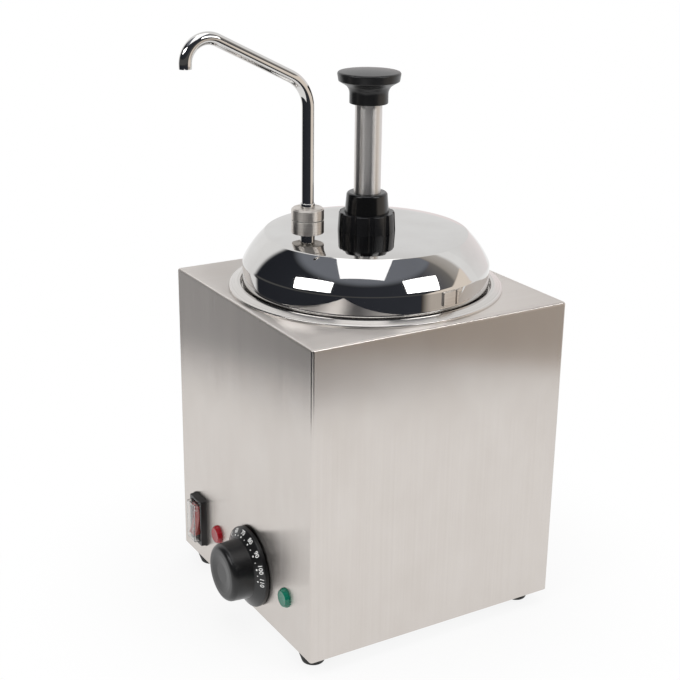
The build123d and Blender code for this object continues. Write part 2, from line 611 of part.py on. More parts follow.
# ---- thermostat: body behind the panel, spindle, sensing bulb and capillary ----------------
with BuildPart() as thermostat_body:
    with BuildSketch(panel_plane(DIAL_X, CONTROL_Z, -CASE_SHEET)):
        Rectangle(THERMO_PLATE_WIDTH, THERMO_HEIGHT)
        with GridLocations(THERMO_SCREW_SPACING, THERMO_SCREW_SPACING, 2, 1):
            Circle(BASE_SCREW_RADIUS, mode=Mode.SUBTRACT)
    extrude(amount=-THERMO_PLATE)
    with BuildSketch(panel_plane(DIAL_X, CONTROL_Z, -CASE_SHEET - THERMO_PLATE)):
        Rectangle(THERMO_WIDTH, THERMO_HEIGHT)
    extrude(amount=-THERMO_DEPTH)
    with BuildSketch(panel_plane(DIAL_X, CONTROL_Z, THERMO_BUSH_RISE)):
        Circle(THERMO_BUSH_RADIUS)
    extrude(amount=-(THERMO_BUSH_RISE + CASE_SHEET))
    with BuildSketch(panel_plane(DIAL_X, CONTROL_Z, THERMO_BUSH_RISE)):
        Circle(SPINDLE_RADIUS + FIT_CLEARANCE)
    extrude(
        amount=-(THERMO_BUSH_RISE + CASE_SHEET + THERMO_PLATE + SPINDLE_BURIED + END_GAP),
        mode=Mode.SUBTRACT,
    )
    with BuildSketch(panel_plane(DIAL_X, CONTROL_Z, -CASE_SHEET - THERMO_PLATE)):
        with GridLocations(THERMO_SCREW_SPACING, THERMO_SCREW_SPACING, 2, 1):
            Circle(BASE_SCREW_RADIUS)
    extrude(amount=-THERMO_SCREW_LENGTH, mode=Mode.SUBTRACT)
save(thermostat_body, "thermostat_body")

with BuildPart() as thermostat_screws:
    with BuildSketch(panel_plane(DIAL_X, CONTROL_Z)):
        with GridLocations(THERMO_SCREW_SPACING, THERMO_SCREW_SPACING, 2, 1):
            Circle(BASE_SCREW_HEAD_RADIUS)
    extrude(amount=BASE_SCREW_HEAD_HEIGHT)
    with BuildSketch(panel_plane(DIAL_X, CONTROL_Z)):
        with GridLocations(THERMO_SCREW_SPACING, THERMO_SCREW_SPACING, 2, 1):
            Circle(BASE_SCREW_RADIUS)
    extrude(amount=-THERMO_SCREW_LENGTH)
save(thermostat_screws, "thermostat_screws")

bulb_z = WELL_UNDERSIDE - BULB_RADIUS - HEATER_SEAT
bulb_end = BULB_LENGTH / 2
with BuildPart() as thermostat_bulb:
    with BuildSketch(Plane(origin=(-bulb_end, BULB_Y, bulb_z), z_dir=(1, 0, 0))):
        Circle(BULB_RADIUS)
    extrude(amount=BULB_LENGTH)
save(thermostat_bulb, "thermostat_bulb")

clip_inner = BULB_RADIUS + HEATER_SEAT
clip_outer = clip_inner + BULB_CLIP_SHEET
with BuildPart() as bulb_clip:
    with BuildSketch(
        Plane(origin=(-BULB_CLIP_WIDTH / 2, BULB_Y, bulb_z), x_dir=(0, 1, 0), z_dir=(1, 0, 0))
    ):
        Circle(clip_outer)
        with Locations((0, clip_inner)):
            Rectangle(2 * clip_outer, clip_inner, align=(Align.CENTER, Align.MAX))
            Rectangle(
                2 * (clip_outer + BULB_CLIP_FOOT), BULB_CLIP_SHEET, align=(Align.CENTER, Align.MAX)
            )
        Circle(clip_inner, mode=Mode.SUBTRACT)
        Rectangle(2 * clip_inner, clip_inner, align=(Align.CENTER, Align.MIN), mode=Mode.SUBTRACT)
        with Locations((0, clip_inner)):
            Rectangle(4 * clip_outer, clip_outer, align=(Align.CENTER, Align.MIN), mode=Mode.SUBTRACT)
    extrude(amount=BULB_CLIP_WIDTH)
save(bulb_clip, "bulb_clip")

capillary_low = WELL_UNDERSIDE - CAPILLARY_LEVEL
capillary_turn_x = bulb_end + CAPILLARY_LEAD
entry = (DIAL_X + CAPILLARY_ENTRY_X, FRONT_Y + CAPILLARY_ENTRY_Y)
with BuildPart() as capillary_tube:
    with BuildLine() as capillary_line:
        FilletPolyline(
            (bulb_end, BULB_Y, bulb_z),
            (capillary_turn_x, BULB_Y, bulb_z),
            (capillary_turn_x, BULB_Y, capillary_low),
            (*entry, capillary_low),
            (*entry, CONTROL_Z + THERMO_HEIGHT / 2),
            radius=CAPILLARY_BEND,
        )
    path = capillary_line.wires()[0]
    with BuildSketch(Plane(origin=path @ 0, z_dir=path % 0)):
        Circle(CAPILLARY_RADIUS)
    sweep(path=path)
save(capillary_tube, "capillary_tube")

# ---- thermal cutout: button stat with ears, against the well's floor ------------------------
with BuildPart() as thermal_cutout:
    with BuildSketch(Plane.XY.offset(WELL_UNDERSIDE)):
        with Locations((CUTOUT_X, CUTOUT_Y)):
            Circle(CUTOUT_RADIUS)
    extrude(amount=-CUTOUT_HEIGHT)
    with BuildSketch(Plane.XY.offset(WELL_UNDERSIDE)):
        with Locations((CUTOUT_X, CUTOUT_Y)):
            RectangleRounded(CUTOUT_EAR_LENGTH, CUTOUT_EAR_WIDTH, CUTOUT_EAR_WIDTH / 3)
    extrude(amount=-CUTOUT_EAR)
save(thermal_cutout, "thermal_cutout")

# ---- terminal block on the base plate -------------------------------------------------------
with BuildPart() as terminal_block:
    with BuildSketch(Plane.XY.offset(LIP_BOTTOM)):
        with Locations((BLOCK_X, BLOCK_Y)):
            Rectangle(BLOCK_LENGTH, BLOCK_WIDTH)
    extrude(amount=BLOCK_HEIGHT)
    with BuildSketch(Plane.XY.offset(LIP_BOTTOM + BLOCK_HEIGHT)):
        with Locations((BLOCK_X, BLOCK_Y)):
            with GridLocations(BLOCK_LENGTH / BLOCK_WAYS, BLOCK_WIDTH / 2, BLOCK_WAYS, 2):
                Circle(BLOCK_SCREW_RADIUS)
    extrude(amount=-BLOCK_SCREW_DEPTH, mode=Mode.SUBTRACT)
save(terminal_block, "terminal_block")

# ---- cable gland in the rear wall, for a stranger's cord -------------------------------------
gland_z = CASE_BASE + GLAND_RISE
rear_plane = Plane(origin=(GLAND_X, CASE_DEPTH / 2, gland_z), x_dir=(-1, 0, 0), z_dir=(0, 1, 0))
with BuildPart() as cable_gland:
    with BuildSketch(rear_plane):
        RegularPolygon(hexagon_radius(GLAND_AF), 6)
    extrude(amount=GLAND_FLANGE)
    with BuildSketch(rear_plane.offset(GLAND_FLANGE)):
        Circle(GLAND_DOME_RADIUS)
    extrude(amount=GLAND_DOME)
    dome_edge = cable_gland.edges().filter_by(GeomType.CIRCLE).sort_by(Axis.Y)[-1]
    fillet(dome_edge, radius=(GLAND_DOME_RADIUS - GLAND_BORE_RADIUS) / 2)
    with BuildSketch(rear_plane):
        Circle(GLAND_THREAD_RADIUS)
    extrude(amount=-GLAND_THREAD)
    with BuildSketch(rear_plane.offset(-GLAND_THREAD)):
        Circle(GLAND_BORE_RADIUS)
    extrude(amount=GLAND_THREAD + GLAND_FLANGE + GLAND_DOME, mode=Mode.SUBTRACT)
save(cable_gland, "cable_gland")

with BuildPart() as gland_nut:
    with BuildSketch(rear_plane.offset(-CASE_SHEET)):
        RegularPolygon(hexagon_radius(GLAND_AF), 6)
        Circle(GLAND_THREAD_RADIUS, mode=Mode.SUBTRACT)
    extrude(amount=-GLAND_NUT_THICKNESS)
save(gland_nut, "gland_nut")

# ---- rocker switch: housing through the panel, frame, rocker, clear cover and blades --------
with BuildPart() as switch_housing:
    with BuildSketch(panel_plane(SWITCH_X, CONTROL_Z)):
        Rectangle(SWITCH_WIDTH, SWITCH_LENGTH)
    extrude(amount=SWITCH_FLANGE)
    with BuildSketch(panel_plane(SWITCH_X, CONTROL_Z)):
        Rectangle(SWITCH_BODY_WIDTH, SWITCH_BODY_LENGTH)
    extrude(amount=-SWITCH_BODY_DEPTH)
    with BuildSketch(panel_plane(SWITCH_X, CONTROL_Z, SWITCH_FLANGE)):
        Rectangle(ROCKER_WIDTH + 2 * ROCKER_CLEARANCE, ROCKER_LENGTH + 2 * ROCKER_CLEARANCE)
    extrude(amount=-(SWITCH_FLANGE + ROCKER_CAVITY_DEPTH), mode=Mode.SUBTRACT)
    pivot_reach = ROCKER_WIDTH / 2 + ROCKER_PIN_REACH + END_GAP / 2
    with BuildSketch(
        Plane(
            origin=(SWITCH_X - pivot_reach, FRONT_Y + ROCKER_PIVOT_DEPTH, CONTROL_Z),
            z_dir=(1, 0, 0),
        )
    ):
        Circle(ROCKER_PIN_RADIUS + FIT_CLEARANCE)
    extrude(amount=2 * pivot_reach, mode=Mode.SUBTRACT)
save(switch_housing, "switch_housing")

with BuildPart() as switch_frame:
    with BuildSketch(panel_plane(SWITCH_X, CONTROL_Z, SWITCH_FLANGE)):
        Rectangle(SWITCH_WIDTH, SWITCH_LENGTH)
    with BuildSketch(panel_plane(SWITCH_X, CONTROL_Z, SWITCH_FRAME_DEPTH)):
        Rectangle(SWITCH_WIDTH - 2 * SWITCH_FRAME_TAPER, SWITCH_LENGTH - 2 * SWITCH_FRAME_TAPER)
    loft()
    with BuildSketch(panel_plane(SWITCH_X, CONTROL_Z, SWITCH_FRAME_DEPTH)):
        Rectangle(SWITCH_OPENING_WIDTH, SWITCH_OPENING_LENGTH)
    extrude(amount=-SWITCH_FRAME_DEPTH, mode=Mode.SUBTRACT)
save(switch_frame, "switch_frame")

cover_top = SWITCH_FRAME_DEPTH + COVER_RISE
with BuildPart() as switch_cover:
    with BuildSketch(panel_plane(SWITCH_X, CONTROL_Z, SWITCH_FLANGE)):
        Rectangle(
            SWITCH_OPENING_WIDTH - 2 * SEAT_CLEARANCE, SWITCH_OPENING_LENGTH - 2 * SEAT_CLEARANCE
        )
    extrude(amount=cover_top - SWITCH_FLANGE)
    cover_edges = switch_cover.edges().filter_by(Axis.Y) + switch_cover.edges().group_by(Axis.Y)[0]
    fillet(cover_edges, radius=COVER_EDGE_RADIUS)
    offset(amount=-COVER_SHEET, openings=switch_cover.faces().sort_by(Axis.Y)[-1])
save(switch_cover, "switch_cover")

rocker_face = ROCKER_PIVOT_DEPTH + ROCKER_PROUD
rocker_tilt = radians(ROCKER_ANGLE)
rocker_pivot = (FRONT_Y + ROCKER_PIVOT_DEPTH, CONTROL_Z)
with BuildPart() as rocker:
    with BuildSketch(
        Plane(
            origin=(SWITCH_X - ROCKER_WIDTH / 2, *rocker_pivot),
            x_dir=(0, -cos(rocker_tilt), sin(rocker_tilt)),
            z_dir=(1, 0, 0),
        )
    ):
        with BuildLine():
            ThreePointArc(
                (rocker_face, -ROCKER_LENGTH / 2),
                (rocker_face - ROCKER_HOLLOW, 0),
                (rocker_face, ROCKER_LENGTH / 2),
            )
            Polyline(
                (rocker_face, ROCKER_LENGTH / 2),
                (-ROCKER_SKIRT, ROCKER_BASE_LENGTH / 2),
                (-ROCKER_SKIRT, -ROCKER_BASE_LENGTH / 2),
                (rocker_face, -ROCKER_LENGTH / 2),
            )
        make_face()
    extrude(amount=ROCKER_WIDTH)
    with BuildSketch(
        Plane(
            origin=(SWITCH_X - ROCKER_WIDTH / 2 - ROCKER_PIN_REACH, *rocker_pivot), z_dir=(1, 0, 0)
        )
    ):
        Circle(ROCKER_PIN_RADIUS)
    extrude(amount=ROCKER_WIDTH + 2 * ROCKER_PIN_REACH)
save(rocker, "rocker")

with BuildPart() as switch_terminals:
    with BuildSketch(panel_plane(SWITCH_X, CONTROL_Z, -SWITCH_BODY_DEPTH)):
        with GridLocations(TERMINAL_PITCH, TERMINAL_PITCH, 1, TERMINAL_COUNT):
            Rectangle(TERMINAL_WIDTH, TERMINAL_THICKNESS)
    extrude(amount=-TERMINAL_LENGTH)
save(switch_terminals, "switch_terminals")

# ---- pilot lamps: lens on the panel, body and nut behind it, neon bulb inside ---------------
LAMP_PLACES = {"red": LAMP_RED_X, "green": LAMP_GREEN_X}
for colour, lamp_x in LAMP_PLACES.items():
    with BuildPart() as lens:
        with BuildSketch(panel_plane(lamp_x, CONTROL_Z)):
            Circle(LAMP_LENS_RADIUS)
        extrude(amount=LAMP_LENS_EDGE)
        with BuildSketch(panel_plane(lamp_x, CONTROL_Z, LAMP_LENS_EDGE)):
            Circle(LAMP_LENS_RADIUS)
        with BuildSketch(panel_plane(lamp_x, CONTROL_Z, LAMP_LENS_HEIGHT)):
            Circle(LAMP_LENS_TOP_RADIUS)
        loft()
        fillet(lens.edges().sort_by(Axis.Y)[0], radius=LAMP_LENS_FILLET)
        offset(amount=-LAMP_LENS_WALL, openings=lens.faces().sort_by(Axis.Y)[-1])
    save(lens, f"pilot_lens_{colour}")
    with BuildPart() as lamp_body:
        with BuildSketch(panel_plane(lamp_x, CONTROL_Z)):
            Circle(LAMP_LENS_RADIUS - LAMP_LENS_WALL - SEAT_CLEARANCE)
        extrude(amount=LAMP_FLANGE)
        with BuildSketch(panel_plane(lamp_x, CONTROL_Z)):
            Circle(LAMP_BODY_RADIUS)
        extrude(amount=-LAMP_BODY_LENGTH)
        with BuildSketch(panel_plane(lamp_x, CONTROL_Z, LAMP_FLANGE)):
            Circle(NEON_WELL_RADIUS)
        extrude(amount=-(LAMP_FLANGE + NEON_WELL_DEPTH), mode=Mode.SUBTRACT)
    save(lamp_body, f"lamp_body_{colour}")

with BuildPart() as lamp_nuts:
    with BuildSketch(panel_plane(0, CONTROL_Z, -CASE_SHEET)):
        with Locations((LAMP_RED_X, 0), (LAMP_GREEN_X, 0)):
            RegularPolygon(hexagon_radius(LAMP_NUT_AF), 6)
            Circle(LAMP_BODY_RADIUS, mode=Mode.SUBTRACT)
    extrude(amount=-LAMP_NUT_THICKNESS)
save(lamp_nuts, "lamp_nuts")

with BuildPart() as neon_bulbs:
    with BuildSketch(panel_plane(0, CONTROL_Z, -NEON_WELL_DEPTH)):
        with Locations((LAMP_RED_X, 0), (LAMP_GREEN_X, 0)):
            Circle(NEON_RADIUS)
    extrude(amount=NEON_LENGTH)
    tips = neon_bulbs.edges().filter_by(GeomType.CIRCLE).group_by(Axis.Y)[0]
    fillet(tips, radius=NEON_RADIUS / 2)
save(neon_bulbs, "neon_bulbs")

# ---- thermostat dial: hollow knob on its spindle ---------------------------------------------
spindle_back = CASE_SHEET + THERMO_PLATE + SPINDLE_BURIED
with BuildPart() as thermostat_spindle:
    with BuildSketch(panel_plane(DIAL_X, CONTROL_Z, -spindle_back)):
        Circle(SPINDLE_RADIUS)
    extrude(amount=SPINDLE_LENGTH)
save(thermostat_spindle, "thermostat_spindle")

cone_foot = DIAL_GAP + DIAL_SKIRT_EDGE
cone_top = cone_foot + DIAL_CONE
barrel_top = cone_top + DIAL_BARREL
dial_face = barrel_top + DIAL_NOSE
hollow_top = dial_face - DIAL_DISH - DIAL_WALL
hub_foot = THERMO_BUSH_RISE + DIAL_GAP
spindle_tip = SPINDLE_LENGTH - spindle_back
with BuildPart() as dial_knob:
    with BuildSketch(
        Plane(origin=(DIAL_X, FRONT_Y, CONTROL_Z), x_dir=(1, 0, 0), z_dir=(0, 0, 1))
    ):
        with BuildLine():
            Polyline(
                (0, -spindle_tip - END_GAP),
                (SPINDLE_RADIUS + FIT_CLEARANCE, -spindle_tip - END_GAP),
                (SPINDLE_RADIUS + FIT_CLEARANCE, -hub_foot),
                (DIAL_HUB_RADIUS, -hub_foot),
                (DIAL_HUB_RADIUS, -hollow_top),
                (DIAL_FACE_RADIUS - DIAL_WALL, -hollow_top),
                (DIAL_FACE_RADIUS - DIAL_WALL, -DIAL_GAP),
                (DIAL_SKIRT_RADIUS, -DIAL_GAP),
                (DIAL_SKIRT_RADIUS, -cone_foot),
                (DIAL_BARREL_RADIUS, -cone_top),
                (DIAL_FACE_RADIUS, -barrel_top),
                (DIAL_NOSE_RADIUS, -dial_face),
                (DIAL_DISH_RADIUS, -dial_face),
                (DIAL_DISH_RADIUS - DIAL_DISH, -dial_face + DIAL_DISH),
                (0, -dial_face + DIAL_DISH),
                close=True,
            )
        make_face()
    revolve(axis=Axis((DIAL_X, FRONT_Y, CONTROL_Z), (0, -1, 0)))
    rim_edges = dial_knob.edges().filter_by(
        lambda edge: edge.geom_type == GeomType.CIRCLE
        and edge.radius > DIAL_SKIRT_RADIUS - FIT_CLEARANCE
    )
    fillet(rim_edges, radius=DIAL_SKIRT_FILLET)
    nose_edges = dial_knob.edges().filter_by(
        lambda edge: edge.geom_type == GeomType.CIRCLE
        and DIAL_NOSE_RADIUS - FIT_CLEARANCE < edge.radius < DIAL_FACE_RADIUS + FIT_CLEARANCE
        and edge.arc_center.Y < FRONT_Y - hollow_top
    )
    fillet(nose_edges, radius=DIAL_NOSE_FILLET)
save(dial_knob, "dial_knob")

# ---- fudge pan: drawn pot with a ledge for the lid and a rolled rim on the casing ------------
with BuildPart() as fudge_pan:
    with BuildSketch(profile_plane()):
        with BuildLine():
            pan_wall = FilletPolyline(
                (0, PAN_FLOOR),
                (PAN_RADIUS, PAN_FLOOR),
                (PAN_RADIUS, LEDGE_TOP),
                (PAN_RIM_INNER, LEDGE_TOP),
                (PAN_RIM_INNER, RIM_TOP),
                (PAN_RIM_OUTER, RIM_TOP),
                (PAN_RIM_OUTER, CASE_TOP),
                radius=(
                    PAN_CORNER_RADIUS, PAN_LEDGE_BEND, PAN_NECK_FOOT, PAN_NECK_BEND, PAN_RIM_ROLL
                ),
            )
            offset(pan_wall, amount=PAN_SHEET, side=Side.RIGHT, closed=True)
        make_face()
    revolve(axis=Axis.Z)
save(fudge_pan, "fudge_pan")

# ---- lid: turned-up cover with a straight skirt and a bowed shoulder -------------------------
crease_z = CASE_TOP + LID_CREASE_RISE
crest_z = CASE_TOP + LID_CREST_RISE
with BuildPart() as lid:
    with BuildSketch(profile_plane()):
        with BuildLine():
            level = Line((0, LID_TOP), (LID_FLAT_RADIUS, LID_TOP))
            crown = TangentArc(level @ 1, (LID_CREST_RADIUS, crest_z), tangent=level % 1)
            shoulder = SagittaArc(crown @ 1, (LID_RADIUS, crease_z), LID_SHOULDER_BULGE)
            Line(shoulder @ 1, (LID_RADIUS, LEDGE_TOP))
            Line((LID_RADIUS, LEDGE_TOP), (0, LEDGE_TOP))
            Line((0, LEDGE_TOP), (0, LID_TOP))
        make_face()
    revolve(axis=Axis.Z)
    for level_z, radius in ((crease_z, LID_CREASE_FILLET), (crest_z, LID_CREST_FILLET)):
        ring = lid.edges().filter_by(GeomType.CIRCLE).sort_by(lambda e: abs(e.center().Z - level_z))[0]
        fillet(ring, radius=radius)
    offset(amount=-LID_SHEET, openings=lid.faces().sort_by(Axis.Z)[0])
    with BuildSketch(Plane.XY.offset(LID_TOP)):
        Circle(CYLINDER_RADIUS + SEAT_CLEARANCE)
        with Locations((0, -SPOUT_OFFSET)):
            Circle(SPOUT_RADIUS + SEAT_CLEARANCE)
    extrude(amount=-2 * LID_SHEET, mode=Mode.SUBTRACT)
save(lid, "lid")

lug_foot = CASE_TOP + LUG_BASE_RISE
with BuildPart() as lid_lug:
    for start, sweep_angle, height, thickness in (
        (LUG_START, LUG_SWEEP, LUG_HEIGHT, LUG_THICKNESS),
        (LUG_STRIP_START, LUG_STRIP_SWEEP, LUG_HEIGHT, LUG_THICKNESS),
        (LUG_START, LUG_BAR_SWEEP, LUG_BAR_HEIGHT, LUG_BAR_THICKNESS),
    ):
        lug_plane = Plane(
            origin=(0, 0, lug_foot + LUG_HEIGHT - height),
            x_dir=(cos(radians(start)), sin(radians(start)), 0),
            z_dir=(sin(radians(start)), -cos(radians(start)), 0),
        )
        with BuildSketch(lug_plane):
            with Locations((LID_RADIUS, 0)):
                Rectangle(thickness, height, align=(Align.MIN, Align.MIN))
        revolve(axis=Axis.Z, revolution_arc=sweep_angle)
        if sweep_angle == LUG_SWEEP:
            corners = lid_lug.edges().filter_by(
                lambda edge: edge.geom_type == GeomType.LINE and edge.length < 2 * LUG_THICKNESS
            )
            fillet(corners, radius=LUG_CORNER_RADIUS)
save(lid_lug, "lid_lug")

# ---- pump: gasket and cylinder under the lid, nut and collar above it ------------------------
lid_underside = LID_TOP - LID_SHEET
flange_top = lid_underside - GASKET_THICKNESS
with BuildPart() as pump_gasket:
    with BuildSketch(Plane.XY.offset(flange_top)):
        Circle(PUMP_FLANGE_RADIUS)
        Circle(CYLINDER_RADIUS + SEAT_CLEARANCE, mode=Mode.SUBTRACT)
    extrude(amount=GASKET_THICKNESS)
save(pump_gasket, "pump_gasket")

with BuildPart() as pump_cylinder:
    with BuildSketch(Plane.XY.offset(CYLINDER_BOTTOM)):
        Circle(CYLINDER_RADIUS)
    extrude(amount=CYLINDER_TOP - CYLINDER_BOTTOM)
    with BuildSketch(Plane.XY.offset(flange_top)):
        Circle(PUMP_FLANGE_RADIUS)
    extrude(amount=-PUMP_FLANGE_THICKNESS)
    with BuildSketch(Plane.XY.offset(CYLINDER_BOTTOM)):
        Circle(PUMP_BORE_RADIUS)
    extrude(amount=CYLINDER_TOP - CYLINDER_BOTTOM, mode=Mode.SUBTRACT)
save(pump_cylinder, "pump_cylinder")

with BuildPart() as clamp_nut:
    with BuildSketch(Plane.XY.offset(LID_TOP)):
        Circle(CLAMP_NUT_RADIUS)
    with BuildSketch(Plane.XY.offset(NUT_TOP)):
        Circle(CLAMP_NUT_TOP_RADIUS)
    loft()
    fillet(clamp_nut.edges().group_by(Axis.Z)[-1], radius=CLAMP_NUT_EDGE_RADIUS)
    with BuildSketch(Plane.XY.offset(LID_TOP)):
        with PolarLocations(
            CLAMP_NUT_RADIUS + CLAMP_NUT_FLUTE_RADIUS - CLAMP_NUT_FLUTE_DEPTH,
            CLAMP_NUT_LOBES,
            start_angle=CLAMP_NUT_PHASE + 180 / CLAMP_NUT_LOBES,
        ):
            Circle(CLAMP_NUT_FLUTE_RADIUS)
    extrude(amount=NUT_TOP - LID_TOP, mode=Mode.SUBTRACT)
    with BuildSketch(Plane.XY.offset(LID_TOP)):
        Circle(CYLINDER_RADIUS + SEAT_CLEARANCE)
    extrude(amount=COLLAR_SEAT - LID_TOP, mode=Mode.SUBTRACT)
    with BuildSketch(Plane.XY.offset(COLLAR_SEAT)):
        Circle(COLLAR_RADIUS + SEAT_CLEARANCE)
    extrude(amount=NUT_TOP - COLLAR_SEAT, mode=Mode.SUBTRACT)
save(clamp_nut, "clamp_nut")

collar_taper_top = COLLAR_TOP - COLLAR_EDGE_RADIUS
with BuildPart() as pump_collar:
    with BuildSketch(profile_plane()):
        with BuildLine():
            collar_side = Polyline(
                (TUBE_RADIUS + FIT_CLEARANCE, COLLAR_TOP),
                (TUBE_RADIUS + FIT_CLEARANCE, SPIGOT_BOTTOM),
                (PUMP_BORE_RADIUS - SEAT_CLEARANCE, SPIGOT_BOTTOM),
                (PUMP_BORE_RADIUS - SEAT_CLEARANCE, CYLINDER_TOP),
                (CYLINDER_RADIUS, CYLINDER_TOP),
                (CYLINDER_RADIUS, COLLAR_SEAT),
                (COLLAR_RADIUS, COLLAR_SEAT),
                (COLLAR_RADIUS, NUT_TOP),
                (COLLAR_TOP_RADIUS, collar_taper_top),
            )
            TangentArc(
                collar_side @ 1,
                (COLLAR_TOP_RADIUS - COLLAR_EDGE_RADIUS, COLLAR_TOP),
                tangent=(0, 1),
            )
            Line((COLLAR_TOP_RADIUS - COLLAR_EDGE_RADIUS, COLLAR_TOP), collar_side @ 0)
        make_face()
    revolve(axis=Axis.Z)
save(pump_collar, "pump_collar")

with BuildPart() as plunger_tube:
    with BuildSketch(Plane.XY.offset(PISTON_TOP)):
        Circle(TUBE_RADIUS)
        Circle(TUBE_RADIUS - TUBE_WALL, mode=Mode.SUBTRACT)
    extrude(amount=KNOB_BOTTOM + KNOB_SOCKET - PISTON_TOP)
save(plunger_tube, "plunger_tube")

flare_foot = KNOB_BOTTOM + KNOB_NECK_HEIGHT
flare_top = flare_foot + KNOB_FLARE_HEIGHT
knob_top = KNOB_BOTTOM + KNOB_HEIGHT
rim_shoulder = knob_top - KNOB_CROWN - KNOB_EDGE_RADIUS
with BuildPart() as push_knob:
    with BuildSketch(profile_plane()):
        with BuildLine():
            flare = TangentArc(
                (KNOB_NECK_RADIUS, flare_foot), (KNOB_FLARE_RADIUS, flare_top), tangent=(0, 1)
            )
            rim_side = Polyline(
                flare @ 1,
                (KNOB_RIM_LOW_RADIUS, rim_shoulder - KNOB_RIM_HEIGHT),
                (KNOB_RIM_RADIUS, rim_shoulder),
            )
            rim_round = TangentArc(
                rim_side @ 1,
                (KNOB_RIM_RADIUS - KNOB_EDGE_RADIUS, knob_top - KNOB_CROWN),
                tangent=(0, 1),
            )
            TangentArc((0, knob_top), rim_round @ 1, tangent=(1, 0))
            Polyline(
                (0, knob_top),
                (0, KNOB_BOTTOM + KNOB_SOCKET),
                (TUBE_RADIUS, KNOB_BOTTOM + KNOB_SOCKET),
                (TUBE_RADIUS, KNOB_BOTTOM),
                (KNOB_NECK_RADIUS, KNOB_BOTTOM),
                flare @ 0,
            )
        make_face()
    revolve(axis=Axis.Z)
    fillet(push_knob.edges().group_by(Axis.Z)[0].sort_by(SortBy.RADIUS)[-1], KNOB_NECK_EDGE)
save(push_knob, "push_knob")

seal_centre_radius = PUMP_BORE_RADIUS - FIT_CLEARANCE - SEAL_SECTION_RADIUS
seal_z = PISTON_TOP - PISTON_LENGTH / 2
with BuildPart() as piston:
    with BuildSketch(Plane.XY.offset(PISTON_BOTTOM)):
        Circle(PISTON_RADIUS)
    extrude(amount=PISTON_LENGTH)
    with BuildSketch(Plane.XY.offset(PISTON_TOP)):
        Circle(TUBE_RADIUS - TUBE_WALL)
    extrude(amount=PISTON_SPIGOT)
    groove_half = SEAL_SECTION_RADIUS + SEAL_GROOVE_CLEARANCE
    with BuildSketch(Plane.XY.offset(seal_z - groove_half)):
        Circle(PISTON_RADIUS)
        Circle(seal_centre_radius - SEAL_SECTION_RADIUS, mode=Mode.SUBTRACT)
    extrude(amount=2 * groove_half, mode=Mode.SUBTRACT)
save(piston, "piston")

with BuildPart() as piston_seal:
    with BuildSketch(profile_plane()):
        with Locations((seal_centre_radius, seal_z)):
            Circle(SEAL_SECTION_RADIUS)
    revolve(axis=Axis.Z)
save(piston_seal, "piston_seal")

spring_foot = VALVE_TOP + END_GAP + SPRING_WIRE_RADIUS
spring_length = PISTON_BOTTOM - END_GAP - SPRING_WIRE_RADIUS - spring_foot
with BuildPart() as return_spring:
    with BuildLine() as spring_line:
        Helix(
            pitch=spring_length / SPRING_TURNS,
            height=spring_length,
            radius=SPRING_COIL_RADIUS,
            center=(0, 0, spring_foot),
        )
    path = spring_line.wires()[0]
    with BuildSketch(Plane(origin=path @ 0, z_dir=path % 0)):
        Circle(SPRING_WIRE_RADIUS)
    sweep(path=path, is_frenet=True)
save(return_spring, "return_spring")

# ---- foot valve at the bottom of the cylinder, with its ball, and the suction tube -----------
discharge_z = VALVE_BOTTOM + DISCHARGE_LEVEL
discharge_bore = SPOUT_RADIUS - SPOUT_WALL
boss_plane = Plane(origin=(0, -BOSS_LENGTH, discharge_z), x_dir=(1, 0, 0), z_dir=(0, -1, 0))
with BuildPart() as valve_body:
    with BuildSketch(Plane.XY.offset(VALVE_BOTTOM)):
        Circle(VALVE_RADIUS)
    extrude(amount=VALVE_HEIGHT)
    with BuildSketch(Plane.XY.offset(CYLINDER_BOTTOM)):
        Circle(PUMP_BORE_RADIUS - SEAT_CLEARANCE)
    extrude(amount=VALVE_SPIGOT)
    with BuildSketch(boss_plane):
        Circle(BOSS_RADIUS)
    extrude(amount=-BOSS_LENGTH)
    with BuildSketch(Plane.XY.offset(CAGE_FLOOR)):
        Circle(VALVE_CAGE_RADIUS)
    extrude(amount=VALVE_CAGE_HEIGHT, mode=Mode.SUBTRACT)
    with BuildSketch(Plane.XY.offset(CAGE_FLOOR)):
        Circle(VALVE_THROAT_RADIUS)
    extrude(amount=VALVE_TOP - CAGE_FLOOR, mode=Mode.SUBTRACT)
    with BuildSketch(Plane.XY.offset(VALVE_BOTTOM)):
        Circle(VALVE_INLET_RADIUS)
    extrude(amount=VALVE_FLOOR, mode=Mode.SUBTRACT)
    with BuildSketch(Plane.XY.offset(VALVE_BOTTOM)):
        Circle(SUCTION_RADIUS)
    extrude(amount=SUCTION_SOCKET, mode=Mode.SUBTRACT)
    with BuildSketch(boss_plane):
        Circle(SPOUT_RADIUS)
    extrude(amount=-DISCHARGE_GRIP, mode=Mode.SUBTRACT)
    with BuildSketch(boss_plane):
        Circle(discharge_bore)
    extrude(amount=-BOSS_LENGTH, mode=Mode.SUBTRACT)
save(valve_body, "valve_body")

ball_lift = (BALL_RADIUS**2 - VALVE_INLET_RADIUS**2) ** 0.5
with BuildPart() as inlet_ball:
    with Locations((0, 0, CAGE_FLOOR + ball_lift)):
        Sphere(BALL_RADIUS)
save(inlet_ball, "inlet_ball")

suction_end = PAN_FLOOR + SUCTION_GAP
with BuildPart() as suction_tube:
    with BuildSketch(Plane.XY.offset(suction_end)):
        Circle(SUCTION_RADIUS)
        Circle(SUCTION_RADIUS - SUCTION_WALL, mode=Mode.SUBTRACT)
    extrude(amount=VALVE_BOTTOM + SUCTION_SOCKET - suction_end)
save(suction_tube, "suction_tube")

